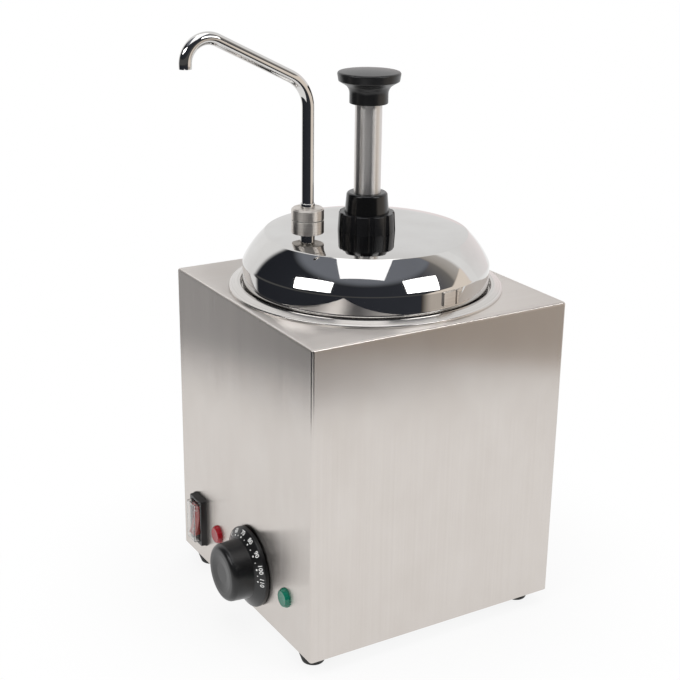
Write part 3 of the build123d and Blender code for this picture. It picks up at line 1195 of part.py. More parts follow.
# ---- discharge tube, its nut under the lid, and the union on top ------------------------------
union_socket = UNION_SPLIT - UNION_SPIGOT
discharge_start = DISCHARGE_GRIP - BOSS_LENGTH
with BuildPart() as discharge_tube:
    with BuildLine() as discharge_line:
        FilletPolyline(
            (0, discharge_start, discharge_z),
            (0, -SPOUT_OFFSET, discharge_z),
            (0, -SPOUT_OFFSET, union_socket - END_GAP),
            radius=DISCHARGE_BEND,
        )
    path = discharge_line.wires()[0]
    with BuildSketch(Plane(origin=path @ 0, z_dir=path % 0)):
        Circle(SPOUT_RADIUS)
        Circle(discharge_bore, mode=Mode.SUBTRACT)
    sweep(path=path)
save(discharge_tube, "discharge_tube")

with BuildPart() as tube_locknut:
    with BuildSketch(Plane.XY.offset(lid_underside)):
        with Locations((0, -SPOUT_OFFSET)):
            RegularPolygon(hexagon_radius(LOCKNUT_AF), 6)
            Circle(SPOUT_RADIUS, mode=Mode.SUBTRACT)
    extrude(amount=-LOCKNUT_THICKNESS)
save(tube_locknut, "tube_locknut")

with BuildPart() as stem_ring:
    with BuildSketch(Plane.XY.offset(LID_TOP)):
        with Locations((0, -SPOUT_OFFSET)):
            Circle(RING_RADIUS)
            Circle(SPOUT_RADIUS, mode=Mode.SUBTRACT)
    extrude(amount=STEM_RING_HEIGHT)
save(stem_ring, "stem_ring")

with BuildPart() as union_lower:
    with BuildSketch(Plane.XY.offset(STEM_TOP)):
        with Locations((0, -SPOUT_OFFSET)):
            Circle(UNION_RADIUS)
            Circle(SPOUT_RADIUS, mode=Mode.SUBTRACT)
    extrude(amount=UNION_LOWER_HEIGHT)
    with BuildSketch(Plane.XY.offset(UNION_SPLIT)):
        with Locations((0, -SPOUT_OFFSET)):
            Circle(UNION_SPIGOT_RADIUS + FIT_CLEARANCE)
    extrude(amount=-(UNION_SPIGOT + END_GAP), mode=Mode.SUBTRACT)
save(union_lower, "union_lower")

with BuildPart() as union_seal:
    with BuildSketch(Plane.XY.offset(UNION_SPLIT)):
        with Locations((0, -SPOUT_OFFSET)):
            Circle(UNION_RADIUS - SEAL_INSET)
            Circle(UNION_SPIGOT_RADIUS + SEAT_CLEARANCE, mode=Mode.SUBTRACT)
    extrude(amount=UNION_SEAL)
save(union_seal, "union_seal")

tube_foot = UNION_TOP - UNION_OVERLAP
with BuildPart() as union_upper:
    with BuildSketch(Plane.XY.offset(UNION_UPPER_BOTTOM)):
        with Locations((0, -SPOUT_OFFSET)):
            Circle(UNION_RADIUS)
    extrude(amount=UNION_UPPER_HEIGHT)
    chamfer(union_upper.edges().group_by(Axis.Z)[-1], length=UNION_CHAMFER)
    with BuildSketch(Plane.XY.offset(union_socket)):
        with Locations((0, -SPOUT_OFFSET)):
            Circle(UNION_SPIGOT_RADIUS)
    extrude(amount=UNION_UPPER_BOTTOM - union_socket)
    with BuildSketch(Plane.XY.offset(union_socket)):
        with Locations((0, -SPOUT_OFFSET)):
            Circle(discharge_bore)
    extrude(amount=UNION_TOP - union_socket, mode=Mode.SUBTRACT)
    with BuildSketch(Plane.XY.offset(tube_foot)):
        with Locations((0, -SPOUT_OFFSET)):
            Circle(SPOUT_RADIUS)
    extrude(amount=UNION_OVERLAP, mode=Mode.SUBTRACT)
save(union_upper, "union_upper")

with BuildPart() as spout_ring:
    with BuildSketch(Plane.XY.offset(UNION_TOP)):
        with Locations((0, -SPOUT_OFFSET)):
            Circle(RING_RADIUS)
            Circle(SPOUT_RADIUS, mode=Mode.SUBTRACT)
    extrude(amount=TOP_RING_HEIGHT)
save(spout_ring, "spout_ring")

# ---- spout: post, rising arm and turned-down outlet ------------------------------------------
bend_z = UNION_TOP + SPOUT_POST
hook_z = bend_z + SPOUT_REACH * tan(radians(SPOUT_SLOPE))
outlet_y = -SPOUT_OFFSET - SPOUT_REACH
with BuildPart() as spout:
    with BuildLine() as spout_line:
        FilletPolyline(
            (0, -SPOUT_OFFSET, tube_foot),
            (0, -SPOUT_OFFSET, bend_z),
            (0, outlet_y, hook_z),
            (0, outlet_y, hook_z - SPOUT_DROP),
            radius=(SPOUT_BEND, SPOUT_HOOK_BEND),
        )
    path = spout_line.wires()[0]
    with BuildSketch(Plane(origin=path @ 0, z_dir=path % 0)):
        Circle(SPOUT_RADIUS)
        Circle(SPOUT_RADIUS - SPOUT_WALL, mode=Mode.SUBTRACT)
    sweep(path=path)
save(spout, "spout")
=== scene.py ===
"""A hot fudge topping warmer.

A brushed steel case, a lift-out pan, a polished lid and a hand pump with a swivel spout.
"""

from math import cos, pi, radians, sin, tan

import bmesh
import bpy
from mathutils import Matrix, Vector


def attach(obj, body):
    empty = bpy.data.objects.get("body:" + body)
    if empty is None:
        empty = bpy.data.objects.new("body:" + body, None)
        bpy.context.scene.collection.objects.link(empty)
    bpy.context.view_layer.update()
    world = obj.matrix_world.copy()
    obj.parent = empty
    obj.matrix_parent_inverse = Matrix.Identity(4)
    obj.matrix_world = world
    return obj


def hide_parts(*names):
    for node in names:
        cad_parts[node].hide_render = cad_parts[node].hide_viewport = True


MM = 0.001
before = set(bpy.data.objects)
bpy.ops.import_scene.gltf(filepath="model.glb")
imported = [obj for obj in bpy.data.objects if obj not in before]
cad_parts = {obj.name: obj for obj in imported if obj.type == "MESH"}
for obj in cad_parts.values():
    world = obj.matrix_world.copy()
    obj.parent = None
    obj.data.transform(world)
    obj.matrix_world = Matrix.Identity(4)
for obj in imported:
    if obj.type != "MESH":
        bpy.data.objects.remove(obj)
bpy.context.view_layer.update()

# Sizes that several pieces share, in millimetres.
CASE_SIDE, CASE_FOOT, CASE_TOP = 215.0, 12.5, 252.5
LID_TOP, COLLAR_TOP, ROD_TOP = 295.7, 324.7, 404.4
PANEL_Y, CONTROL_Z = -107.5, 47.8
POST_Y, POST_RADIUS = -50.6, 4.5
DIAL_X, SWITCH_X, LAMP_RED_X, LAMP_GREEN_X = 15.3, -73.6, -42.0, 70.0


# ---- materials ----------------------------------------------------------------------


def shade(code):
    """An sRGB hex colour as linear red, green, blue and alpha."""
    parts = [int(code[i:i + 2], 16) / 255 for i in (1, 3, 5)]
    return (*[p / 12.92 if p <= 0.04045 else ((p + 0.055) / 1.055) ** 2.4 for p in parts], 1)


def add(owner, kind, inputs=None, **settings):
    """Adds a shader node with its settings; an input takes a value or another node's output."""
    tree = owner.node_tree
    node = tree.nodes.new("ShaderNode" + kind)
    for name, value in settings.items():
        setattr(node, name, value)
    for name, value in (inputs or {}).items():
        if isinstance(value, bpy.types.NodeSocket):
            tree.links.new(value, node.inputs[name])
        else:
            node.inputs[name].default_value = value
    return node


def start_finish(name):
    """An empty node material and its Object coordinates."""
    finish = bpy.data.materials.new(name)
    finish.use_nodes = True
    finish.node_tree.nodes.clear()
    return finish, add(finish, "TexCoord").outputs["Object"]


def close_finish(finish, inputs):
    """Puts the Principled shader with these inputs on the surface."""
    shader = add(finish, "BsdfPrincipled", inputs)
    add(finish, "OutputMaterial", {"Surface": shader.outputs["BSDF"]})
    return finish


def grain(finish, place, across, along, axis="Z", detail=3.0):
    """Noise drawn out along one axis; both sizes in millimetres."""
    scale = [1 / (across * MM)] * 3
    scale["XYZ".index(axis)] = 1 / (along * MM)
    moved = add(finish, "Mapping", {"Vector": place, "Scale": scale})
    noise = add(finish, "TexNoise", {"Vector": moved.outputs["Vector"], "Scale": 1.0, "Detail": detail})
    return noise.outputs["Fac"]


def between(finish, fac, low, high):
    """Maps a 0 to 1 pattern to a range of values."""
    return add(finish, "MapRange", {"Value": fac, "From Min": 0.25, "From Max": 0.75,
                                    "To Min": low, "To Max": high}).outputs["Result"]


def tinted(finish, fac, dark, light):
    """Maps a 0 to 1 pattern to a colour between two hex shades."""
    ramp = add(finish, "ValToRGB", {"Fac": fac})
    ramp.color_ramp.elements[0].position = 0.3
    ramp.color_ramp.elements[0].color = shade(dark)
    ramp.color_ramp.elements[1].position = 0.7
    ramp.color_ramp.elements[1].color = shade(light)
    return ramp.outputs["Color"]


def relief(finish, fac, height, strength=1.0):
    """A bump from a pattern, height in millimetres."""
    bump = add(finish, "Bump", {"Height": fac, "Distance": height * MM, "Strength": strength})
    return bump.outputs["Normal"]


def maths(owner, operation, *values, clamp=False):
    """The result of one sum."""
    node = add(owner, "Math", dict(enumerate(values)), operation=operation, use_clamp=clamp)
    return node.outputs["Value"]


def eased(owner, value, start, end, low, high):
    """Maps start to end onto low to high, softly at both ends and flat past them."""
    node = add(owner, "MapRange", {"Value": value, "From Min": start, "From Max": end, "To Min": low,
                                   "To Max": high}, interpolation_type="SMOOTHSTEP")
    return node.outputs["Result"]


def brushed_sheet(name, dark, light, low, high, axis="Z"):
    """Stainless sheet with a No. 4 grain: long fine scratches that widen reflections across the grain."""
    finish, place = start_finish(name)
    fine = grain(finish, place, 0.9, 140, axis)
    stains = grain(finish, place, 30, 45, axis, 2.0)
    both = add(finish, "Mix", {"Factor": 0.5, "A": fine, "B": stains}).outputs["Result"]
    tangent = add(finish, "Tangent", direction_type="RADIAL", axis=axis).outputs["Tangent"]
    return close_finish(finish, {
        "Base Color": tinted(finish, both, dark, light), "Metallic": 1.0,
        "Roughness": between(finish, fine, low, high), "Anisotropic": 0.98, "Tangent": tangent,
        "Normal": relief(finish, fine, 0.0012, 0.3)})


def polished_sheet(name, dark, light, roughness):
    """Mirror-buffed stainless: clear reflections with only faint hairlines left by the mop."""
    finish, place = start_finish(name)
    hairs = grain(finish, place, 0.8, 30, "X")
    clouds = grain(finish, place, 25, 25)
    return close_finish(finish, {
        "Base Color": tinted(finish, clouds, dark, light), "Metallic": 1.0,
        "Roughness": between(finish, hairs, roughness * 0.7, roughness * 1.3)})


def turned_metal(name, dark, light, low, high, pitch=0.5, anisotropy=0.6):
    """Lathe-turned metal: fine rings round the axis that smear reflections up and down."""
    finish, place = start_finish(name)
    rings = grain(finish, place, 200, pitch, "Z", 2.0)
    tangent = add(finish, "Tangent", direction_type="RADIAL", axis="Z").outputs["Tangent"]
    return close_finish(finish, {
        "Base Color": tinted(finish, rings, dark, light), "Metallic": 1.0,
        "Roughness": between(finish, rings, low, high), "Anisotropic": anisotropy,
        "Anisotropic Rotation": 0.25, "Tangent": tangent, "Normal": relief(finish, rings, 0.004, 0.2)})


def spun_sheet(name, dark, light, low, high):
    """Satin stainless spun on a former: rings round the centre, seen on the rim and the floor of the pan."""
    finish, place = start_finish(name)
    flat = add(finish, "VectorMath", {0: place, 1: (1, 1, 0)}, operation="MULTIPLY").outputs["Vector"]
    radius = add(finish, "VectorMath", {0: flat}, operation="LENGTH").outputs["Value"]
    steps = maths(finish, "MULTIPLY", radius, 1 / (0.9 * MM))
    noise = add(finish, "TexNoise", {"W": steps, "Scale": 1.0, "Detail": 3.0}, noise_dimensions="1D")
    rings = noise.outputs["Fac"]
    clouds = grain(finish, place, 18, 18)
    return close_finish(finish, {
        "Base Color": tinted(finish, rings, dark, light), "Metallic": 1.0,
        "Roughness": between(finish, clouds, low, high), "Normal": relief(finish, rings, 0.006, 0.3)})


def moulded(name, dark, light, low, high, grit=0.5, height=0.01, **more):
    """Injection-moulded plastic or rubber: one colour with a faint cloud and the fine grit of the mould."""
    finish, place = start_finish(name)
    specks = grain(finish, place, grit, grit, detail=2.0)
    clouds = grain(finish, place, 9, 9)
    inputs = {"Base Color": tinted(finish, clouds, dark, light), "IOR": 1.5,
              "Roughness": between(finish, specks, low, high), "Normal": relief(finish, specks, height, 0.5)}
    inputs.update({key.replace("_", " "): value for key, value in more.items()})
    return close_finish(finish, inputs)


finishes = {
    "casing_steel": brushed_sheet("brushed_stainless_case", "#D0C9C3", "#D8D2CD", 0.21, 0.27),
    "sheet_steel": brushed_sheet("mill_finish_sheet", "#B4B5B4", "#C6C7C6", 0.3, 0.42, "X"),
    "polished_steel": polished_sheet("buffed_stainless", "#CFCDCB", "#D5D4D2", 0.04),
    "pan_steel": spun_sheet("spun_stainless_pan", "#CBC7C3", "#DAD7D4", 0.16, 0.24),
    "screw_steel": turned_metal("zinc_plated_screws", "#B9BABB", "#CDCECE", 0.25, 0.4),
    "heater_alloy": turned_metal("annealed_heater_sheath", "#5E584F", "#7C756B", 0.35, 0.5),
    "copper_tube": turned_metal("drawn_copper_tube", "#B87250", "#D59273", 0.2, 0.3),
    "brass": turned_metal("turned_brass", "#B79A5B", "#CFB476", 0.2, 0.35),
    "black_rubber": moulded("black_rubber_feet", "#0C0C0C", "#161616", 0.6, 0.8),
    "seal_rubber": moulded("silicone_seal", "#8C8C88", "#9C9C98", 0.45, 0.6),
    "black_plastic": moulded("black_nylon", "#131314", "#1B1B1C", 0.27, 0.34),
    "black_gloss": moulded("black_acetal", "#080809", "#0D0D0E", 0.14, 0.22),
    "white_plastic": moulded("white_polycarbonate", "#DEDDD8", "#E8E7E2", 0.35, 0.45),
    "grey_plastic": moulded("grey_acetal", "#B9BAB8", "#C6C7C5", 0.3, 0.4),
    "red_rocker": moulded("red_rocker_abs", "#C42A24", "#D2352D", 0.25, 0.35),
    "red_lens": moulded("red_lens_acrylic", "#C41A2A", "#D62636", 0.05, 0.1, Transmission_Weight=0.5),
    "green_lens": moulded("green_lens_acrylic", "#138C70", "#1F9E80", 0.05, 0.1, Transmission_Weight=0.5),
    "clear_cover": moulded("clear_pvc_cover", "#F2F2F0", "#FAFAFA", 0.03, 0.08, Transmission_Weight=1.0),
    "neon_glass": moulded("neon_glass", "#F0D8C8", "#F6E6DA", 0.03, 0.06, Transmission_Weight=0.8),
}
# Top panel: the grain runs along Y and the brush is rougher, and its colour is a shade lighter than the
# sides'. The lighter colour is painted light that stands in for the overhead softbox.
case_top_painted_lighter = brushed_sheet("brushed_stainless_top_painted_lighter", "#D8D2CD", "#E0DBD7", 0.36, 0.42, "Y")
union_steel = turned_metal("satin_turned_stainless", "#CDC6BF", "#DDD8D2", 0.38, 0.46,
                           pitch=0.6, anisotropy=0.9)
ground_tube = turned_metal("centreless_ground_stainless", "#D6D2CE", "#E0DDDA", 0.36, 0.38,
                           pitch=0.4, anisotropy=1.0)
black_nut = moulded("black_moulded_nut", "#0E0E10", "#161618", 0.22, 0.28)
white_print = moulded("white_pad_print", "#EDEDEB", "#F6F6F4", 0.4, 0.5)
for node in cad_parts.values():
    for place in node.material_slots:
        place.material = finishes[place.material.name.split(".")[0]]


# ---- mesh tools ---------------------------------------------------------------------


def wire(corners, closed=False, segments=8):
    """A wire through (x, z) corners in millimetres; a third number rounds that corner to that radius."""
    bm = bmesh.new()
    verts = [bm.verts.new((corner[0] * MM, 0, corner[1] * MM)) for corner in corners]
    for start, end in zip(verts, verts[1:] + verts[:1] * closed):
        bm.edges.new((start, end))
    for vert, corner in zip(verts, corners):
        if len(corner) == 3:
            arms = [edge.other_vert(vert).co - vert.co for edge in vert.link_edges]
            reach = corner[2] * MM / tan(arms[0].angle(arms[1]) / 2)
            bmesh.ops.bevel(bm, geom=[vert], offset=reach, offset_type="OFFSET", affect="VERTICES",
                            segments=segments, profile=0.5, material=-1)
    return bm


def arc(centre, radius, start, end, steps):
    """Points along an arc in the XZ plane, angles in degrees."""
    angles = [radians(start + (end - start) * i / steps) for i in range(steps + 1)]
    return [(centre[0] + radius * cos(a), centre[1] + radius * sin(a)) for a in angles]


def turn(bm, steps=128, centre=(0, 0)):
    """Spins a wire round the vertical axis through centre."""
    bmesh.ops.spin(bm, geom=bm.verts[:] + bm.edges[:], axis=(0, 0, 1), angle=2 * pi, steps=steps,
                   use_merge=True)
    bmesh.ops.remove_doubles(bm, verts=bm.verts, dist=1e-7)
    bmesh.ops.recalc_face_normals(bm, faces=bm.faces)
    bmesh.ops.translate(bm, verts=bm.verts, vec=(centre[0] * MM, centre[1] * MM, 0))
    return bm


def onto_panel(bm, x, z=CONTROL_Z):
    """Moves a piece turned round Z onto the control panel, its top pointing out of the panel."""
    bmesh.ops.rotate(bm, verts=bm.verts, matrix=Matrix.Rotation(pi / 2, 3, "X"))
    bmesh.ops.translate(bm, verts=bm.verts, vec=(x * MM, PANEL_Y * MM, z * MM))
    return bm


def block(size, level=0.0):
    """A box of that size in millimetres, its middle at that level."""
    bm = bmesh.new()
    bmesh.ops.create_cube(bm, size=1)
    bmesh.ops.scale(bm, verts=bm.verts, vec=Vector(size) * MM)
    bmesh.ops.translate(bm, verts=bm.verts, vec=(0, 0, level * MM))
    return bm


def open_box(size, level, radius, segments):
    """A box without a bottom, its other edges rounded to that radius in millimetres."""
    bm = block(size, level)
    bmesh.ops.delete(bm, geom=[f for f in bm.faces if f.normal.z < -0.5], context="FACES_ONLY")
    folds = [e for e in bm.edges if len(e.link_faces) == 2]
    bmesh.ops.bevel(bm, geom=folds, offset=radius * MM, offset_type="OFFSET", affect="EDGES",
                    segments=segments, profile=0.5, material=-1)
    return bm


def hoop(bm, width, height, corner, level):
    """A rounded rectangle of edges, width by height, at that level; all in millimetres."""
    ends = bmesh.ops.create_grid(bm, x_segments=1, y_segments=1, size=0.5,
                                 matrix=Matrix.Translation((0, 0, level * MM)) @ Matrix.Diagonal(
                                     (width * MM, height * MM, 1, 1)))["verts"]
    bmesh.ops.delete(bm, geom=list({f for v in ends for f in v.link_faces}), context="FACES_ONLY")
    made = bmesh.ops.bevel(bm, geom=ends, offset=corner * MM, offset_type="OFFSET", affect="VERTICES",
                           segments=5, profile=0.5, material=-1)["verts"]
    return list({e for v in made for e in v.link_edges})


def sleeve(*hoops):
    """Bridges rounded rectangles, each (width, height, corner, level), one after the other."""
    bm = bmesh.new()
    loops = [hoop(bm, *size) for size in hoops]
    for lower, upper in zip(loops, loops[1:]):
        bmesh.ops.bridge_loops(bm, edges=lower + upper)
    bmesh.ops.recalc_face_normals(bm, faces=bm.faces)
    return bm


def piece(name, bm, slot, body, *replaced, crease=30, wall=0.0, finish=None):
    """Makes a finished piece of a bmesh, with smooth faces that stay crisp past the crease angle."""
    for face in bm.faces:
        face.smooth = True
    for edge in bm.edges:
        edge.smooth = edge.calc_face_angle(0) < radians(crease)
    mesh = bpy.data.meshes.new(name)
    bm.to_mesh(mesh)
    bm.free()
    mesh.materials.append(finish or finishes[slot])
    made = bpy.data.objects.new(name, mesh)
    bpy.context.collection.objects.link(made)
    if wall:
        sheet = made.modifiers.new("Sheet", "SOLIDIFY")
        sheet.thickness, sheet.offset, sheet.use_even_offset = wall * MM, -1, True
    made.modifiers.new("Flat stays flat", "WEIGHTED_NORMAL").keep_sharp = True
    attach(made, body)
    if replaced:
        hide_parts(*replaced)
    return made


def copied(name, node, slot, body, crease=25, edge=0.0, finish=None):
    """A CAD node's own shape, merged so that its round faces shade smoothly.

    Edge, in millimetres, is how far its sharp corners are softened.
    """
    bm = bmesh.new()
    bm.from_mesh(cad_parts[node].data)
    bmesh.ops.remove_doubles(bm, verts=bm.verts, dist=2e-6)
    if edge:
        bmesh.ops.dissolve_limit(bm, angle_limit=radians(1), verts=bm.verts, edges=bm.edges)
        sharp = [e for e in bm.edges if e.calc_face_angle(0) > radians(35)]
        bmesh.ops.bevel(bm, geom=sharp, offset=edge * MM, offset_type="OFFSET", affect="EDGES", segments=3,
                        profile=0.5, material=-1, clamp_overlap=True)
    return piece(name, bm, slot, body, node, crease=crease, finish=finish)


# ---- camera -------------------------------------------------------------------------

CAMERA_PLACE = (0.837779, -0.523779, 0.563653)
camera = bpy.data.objects.new("camera", bpy.data.cameras.new("camera"))
bpy.context.collection.objects.link(camera)
bpy.context.scene.camera = camera
heading, pitch_down, roll = radians(59.0745), radians(19.8449), radians(0.7095)
ahead = Vector((-sin(heading) * cos(pitch_down), cos(heading) * cos(pitch_down), -sin(pitch_down)))
level = Vector((cos(heading), sin(heading), 0))
upward = level.cross(ahead)
right = level * cos(roll) + upward * sin(roll)
above = upward * cos(roll) - level * sin(roll)
facing = Matrix((right, above, -ahead)).transposed().to_4x4()
camera.matrix_world = Matrix.Translation(CAMERA_PLACE) @ facing
camera.data.sensor_width = 36
camera.data.lens = 72.01


# ---- case ---------------------------------------------------------------------------

# Folded sheet: the four uprights and the top edges are bent to the fold radius.
FOLD_RADIUS, MOUTH_RADIUS, CASE_SHEET = 2, 98, 1.0
FOOT_X, FOOT_Y = 86.5, 93.5

bm = open_box((CASE_SIDE, CASE_SIDE, CASE_TOP - CASE_FOOT), (CASE_TOP + CASE_FOOT) / 2, FOLD_RADIUS, 6)
top = max(bm.faces, key=lambda f: f.normal.z * f.calc_area())
square = top.edges[:]
bmesh.ops.delete(bm, geom=[top], context="FACES_ONLY")
mouth = bmesh.ops.create_circle(bm, segments=128, radius=MOUTH_RADIUS * MM,
                                matrix=Matrix.Translation((0, 0, CASE_TOP * MM)))
ring = {e for v in mouth["verts"] for e in v.link_edges}
bmesh.ops.bridge_loops(bm, edges=square + list(ring))
bmesh.ops.recalc_face_normals(bm, faces=bm.faces)
# Faces that look up take the top panel's finish, with its painted lighter tone.
for face in bm.faces:
    face.material_index = int(face.normal.z > 0.9)
case = piece("case", bm, "casing_steel", "casing", "casing_shell", wall=CASE_SHEET)
case.data.materials.append(case_top_painted_lighter)

foot_path = [(2.2, 6), (4.6, 6, 0.3), (4.6, 0, 0.3), (8.2, 0, 1.0), (12.5, CASE_FOOT, 0.4), (2.2, CASE_FOOT)]
for corner, x, y in (("front_left", -FOOT_X, -FOOT_Y), ("front_right", FOOT_X, -FOOT_Y),
                     ("rear_left", -FOOT_X, FOOT_Y), ("rear_right", FOOT_X, FOOT_Y)):
    bm = wire(foot_path, closed=True, segments=4)
    piece("rubber_foot_" + corner, turn(bm, 48, (x, y)), "black_rubber", "casing", "foot_" + corner)


# ---- pan and lid ----------------------------------------------------------------------

# The pan's inside first: floor, wall, ledge for the lid and rolled rim, then back down the outside.
pan_path = [(0, 107.5), (90, 107.5, 15), (90, 251.5, 1.6), (94.6, 251.5, 0.6), (94.6, 257, 1.2),
            (97.5, 257, 4.0), (103.5, 254.6, 1.0), (103.5, 252.5), (102.5, 252.5), (102.5, 253.9, 0.6),
            (97.3, 256, 3.0), (95.6, 256, 0.8), (95.6, 250.5, 1.4), (91, 250.5, 0.6), (91, 106.5, 16),
            (0, 106.5)]
piece("spun_pan", turn(wire(pan_path), 192), "pan_steel", "pan", "fudge_pan")

# The lid: a flat top, a soft shoulder, a bulging side and a plain skirt.
LID_RADIUS, LID_SHEET = 93.1, 0.8
lid_path = [(17.2, LID_TOP), (62.2, LID_TOP)]
lid_path += arc((62.5, 195.8), 99.9, 90, 82.2, 6) + [(76.6, 294.7, 2.5)]
lid_path += arc((28.55, 241.76), 71.5, 46.6, 27.2, 14)
lid_path += [(LID_RADIUS, 272.5, 5.0), (LID_RADIUS, 270.4), (LID_RADIUS, 251.5)]
piece("domed_lid", turn(wire(lid_path, segments=10), 256), "polished_steel", "lid", "lid", wall=LID_SHEET)
copied("lid_catch", "lid_lug", "casing_steel", "lid", finish=union_steel)


# ---- pump ---------------------------------------------------------------------------

copied("ribbed_nut", "clamp_nut", "black_plastic", "lid", edge=0.35, finish=black_nut)

collar_path = [(10.05, COLLAR_TOP, 0.5), (10.05, 296.7), (15.3, 296.7), (15.3, 304.7), (17.0, 304.7),
               (17.0, 306.7), (16.5, 306.7), (16.5, 309.7), (15.2, COLLAR_TOP, 2.2)]
piece("pump_neck", turn(wire(collar_path, closed=True)), "black_gloss", "lid", "pump_collar")

rod_path = [(8.8, 288.7), (10, 288.7, 0.3), (10, ROD_TOP), (8.8, ROD_TOP)]
piece("plunger_rod", turn(wire(rod_path, closed=True)), "polished_steel", "plunger", "plunger_tube",
      finish=ground_tube)

knob_path = [(0, ROD_TOP), (10, ROD_TOP), (10, 390.4), (14.2, 390.4, 0.6)]
knob_path += arc((21.936, 397.4), 7.736, 180, 121.45, 10) + [(22.4, 406.6, 0.7)]
knob_path += arc((21.6, 411.6), 1.6, 0, 90, 8) + arc((0, 247.3), 167.3, 82.58, 90, 8)
piece("palm_knob", turn(wire(knob_path)), "black_plastic", "plunger", "push_knob")


# ---- union and spout ------------------------------------------------------------------

POST = (0, POST_Y)
UNION_FOOT, UNION_TOP, UNION_RADIUS = 300, 318.5, 12
SPOUT_FOOT, SPOUT_SHEET = 311.5, 0.8
POST_LENGTH, ARM_LENGTH, OUTLET_LENGTH = 79.6, 62.29, 2.93
ARM_RISE, WIDE_BEND = 26.5, 26
HOOK_CENTRE = (-128.1, 427.4)
# The tube is drawn a hair under the CAD tube's radius, so that its finer bends stay in the CAD box.
TUBE_SHY = 0.01


def ferrule(name, body, node, foot, top):
    """A thin ring round the post between two levels."""
    path = [(POST_RADIUS, foot), (5.3, foot), (5.3, top, 0.6), (POST_RADIUS, top)]
    piece(name, turn(wire(path, closed=True), 64, POST), "polished_steel", body, node)


def union_half(name, body, node, path):
    """A turned half of the union."""
    piece(name, turn(wire(path, closed=True, segments=4), 96, POST), "screw_steel", body, node,
          finish=union_steel)


def lengthen(bm, loop, move):
    """Draws the open end of a tube straight on by a move in millimetres."""
    grown = bmesh.ops.extrude_edge_only(bm, edges=loop)["geom"]
    verts = [g for g in grown if isinstance(g, bmesh.types.BMVert)]
    bmesh.ops.translate(bm, verts=verts, vec=Vector(move) * MM)
    return [g for g in grown if isinstance(g, bmesh.types.BMEdge)]


def bend(bm, loop, centre, degrees_round, steps):
    """Carries the open end of a tube round a bend in the YZ plane."""
    spun = bmesh.ops.spin(bm, geom=loop, cent=Vector((0, *centre)) * MM, axis=(1, 0, 0),
                          angle=radians(degrees_round), steps=steps)
    return [g for g in spun["geom_last"] if isinstance(g, bmesh.types.BMEdge)]


def bent_tube():
    """The spout's tube: straight post, wide bend, rising arm, tight hook, short outlet."""
    bm = bmesh.new()
    foot = Matrix.Translation(Vector((*POST, SPOUT_FOOT)) * MM)
    end = bmesh.ops.create_circle(bm, segments=48, radius=(POST_RADIUS - TUBE_SHY) * MM, matrix=foot)["verts"]
    loop = list({e for v in end for e in v.link_edges})
    slope = radians(ARM_RISE)
    loop = lengthen(bm, loop, (0, 0, POST_LENGTH))
    loop = bend(bm, loop, (POST_Y - WIDE_BEND, SPOUT_FOOT + POST_LENGTH), 90 - ARM_RISE, 24)
    loop = lengthen(bm, loop, Vector((0, -cos(slope), sin(slope))) * ARM_LENGTH)
    loop = bend(bm, loop, HOOK_CENTRE, 90 + ARM_RISE, 36)
    lengthen(bm, loop, (0, 0, -OUTLET_LENGTH))
    bmesh.ops.recalc_face_normals(bm, faces=bm.faces)
    return bm


ferrule("stem_ferrule", "lid", "stem_ring", LID_TOP, UNION_FOOT)
union_half("union_base", "lid", "union_lower", [
    (POST_RADIUS, UNION_FOOT), (UNION_RADIUS, UNION_FOOT, 0.5), (UNION_RADIUS, 309.7, 0.35),
    (7.55, 309.7), (7.55, 305.4), (POST_RADIUS, 305.4)])
union_half("union_cap", "spout", "union_upper", [
    (3.7, 305.7), (7.5, 305.7), (7.5, 310.3), (UNION_RADIUS, 310.3, 0.35), (UNION_RADIUS, 317.4, 0.15),
    (10.9, UNION_TOP, 0.15), (POST_RADIUS, UNION_TOP), (POST_RADIUS, SPOUT_FOOT), (3.7, SPOUT_FOOT)])
ferrule("spout_ferrule", "spout", "spout_ring", UNION_TOP, 322.1)
piece("swivel_spout", bent_tube(), "polished_steel", "spout", "spout", wall=SPOUT_SHEET)


# ---- dial ---------------------------------------------------------------------------

CONE_OUT, CONE_IN, CONE_FOOT, CONE_TOP = 31.3, 23.1, 4.0, 9.0
NUMBER_HEIGHT, NUMBER_RADIUS, DOT_RADIUS = 3.7, 28.4, 25.4
OFF_RADIUS, OFF_ANGLE = 28.0, -138
PRINT_DEPTH = 0.1

dial_path = [(0, 21.8), (3.05, 21.8), (3.05, 4), (6.5, 4), (6.5, 22.8), (19.9, 22.8), (19.9, 1.0),
             (CONE_OUT, 1.0, 0.8), (CONE_OUT, CONE_FOOT, 0.8), (CONE_IN, CONE_TOP, 0.3), (22.1, 24.2, 4.0),
             (18.8, 25.8, 4.0), (15.0, 25.8, 6.0), (8.0, 25.0, 12.0), (0, 25.0)]
bm = onto_panel(turn(wire(dial_path, segments=6), 160), DIAL_X)
piece("dial", bm, "black_plastic", "dial", "dial_knob")

cone_slope = Vector((CONE_OUT - CONE_IN, CONE_FOOT - CONE_TOP)).normalized()


def on_cone(bm, radius, angle):
    """Wraps a flat print onto the dial's cone: its middle at that radius, angle clockwise from the top."""
    out = CONE_FOOT + (CONE_OUT - radius) / (CONE_OUT - CONE_IN) * (CONE_TOP - CONE_FOOT)
    for vert in bm.verts:
        across, up, proud = vert.co / MM
        reach = radius + up * cone_slope.x - proud * cone_slope.y
        height = out + up * cone_slope.y + proud * cone_slope.x
        turned = radians(angle) + across / reach
        place = (DIAL_X + reach * sin(turned), PANEL_Y - height, CONTROL_Z + reach * cos(turned))
        vert.co = Vector(place) * MM
    return bm


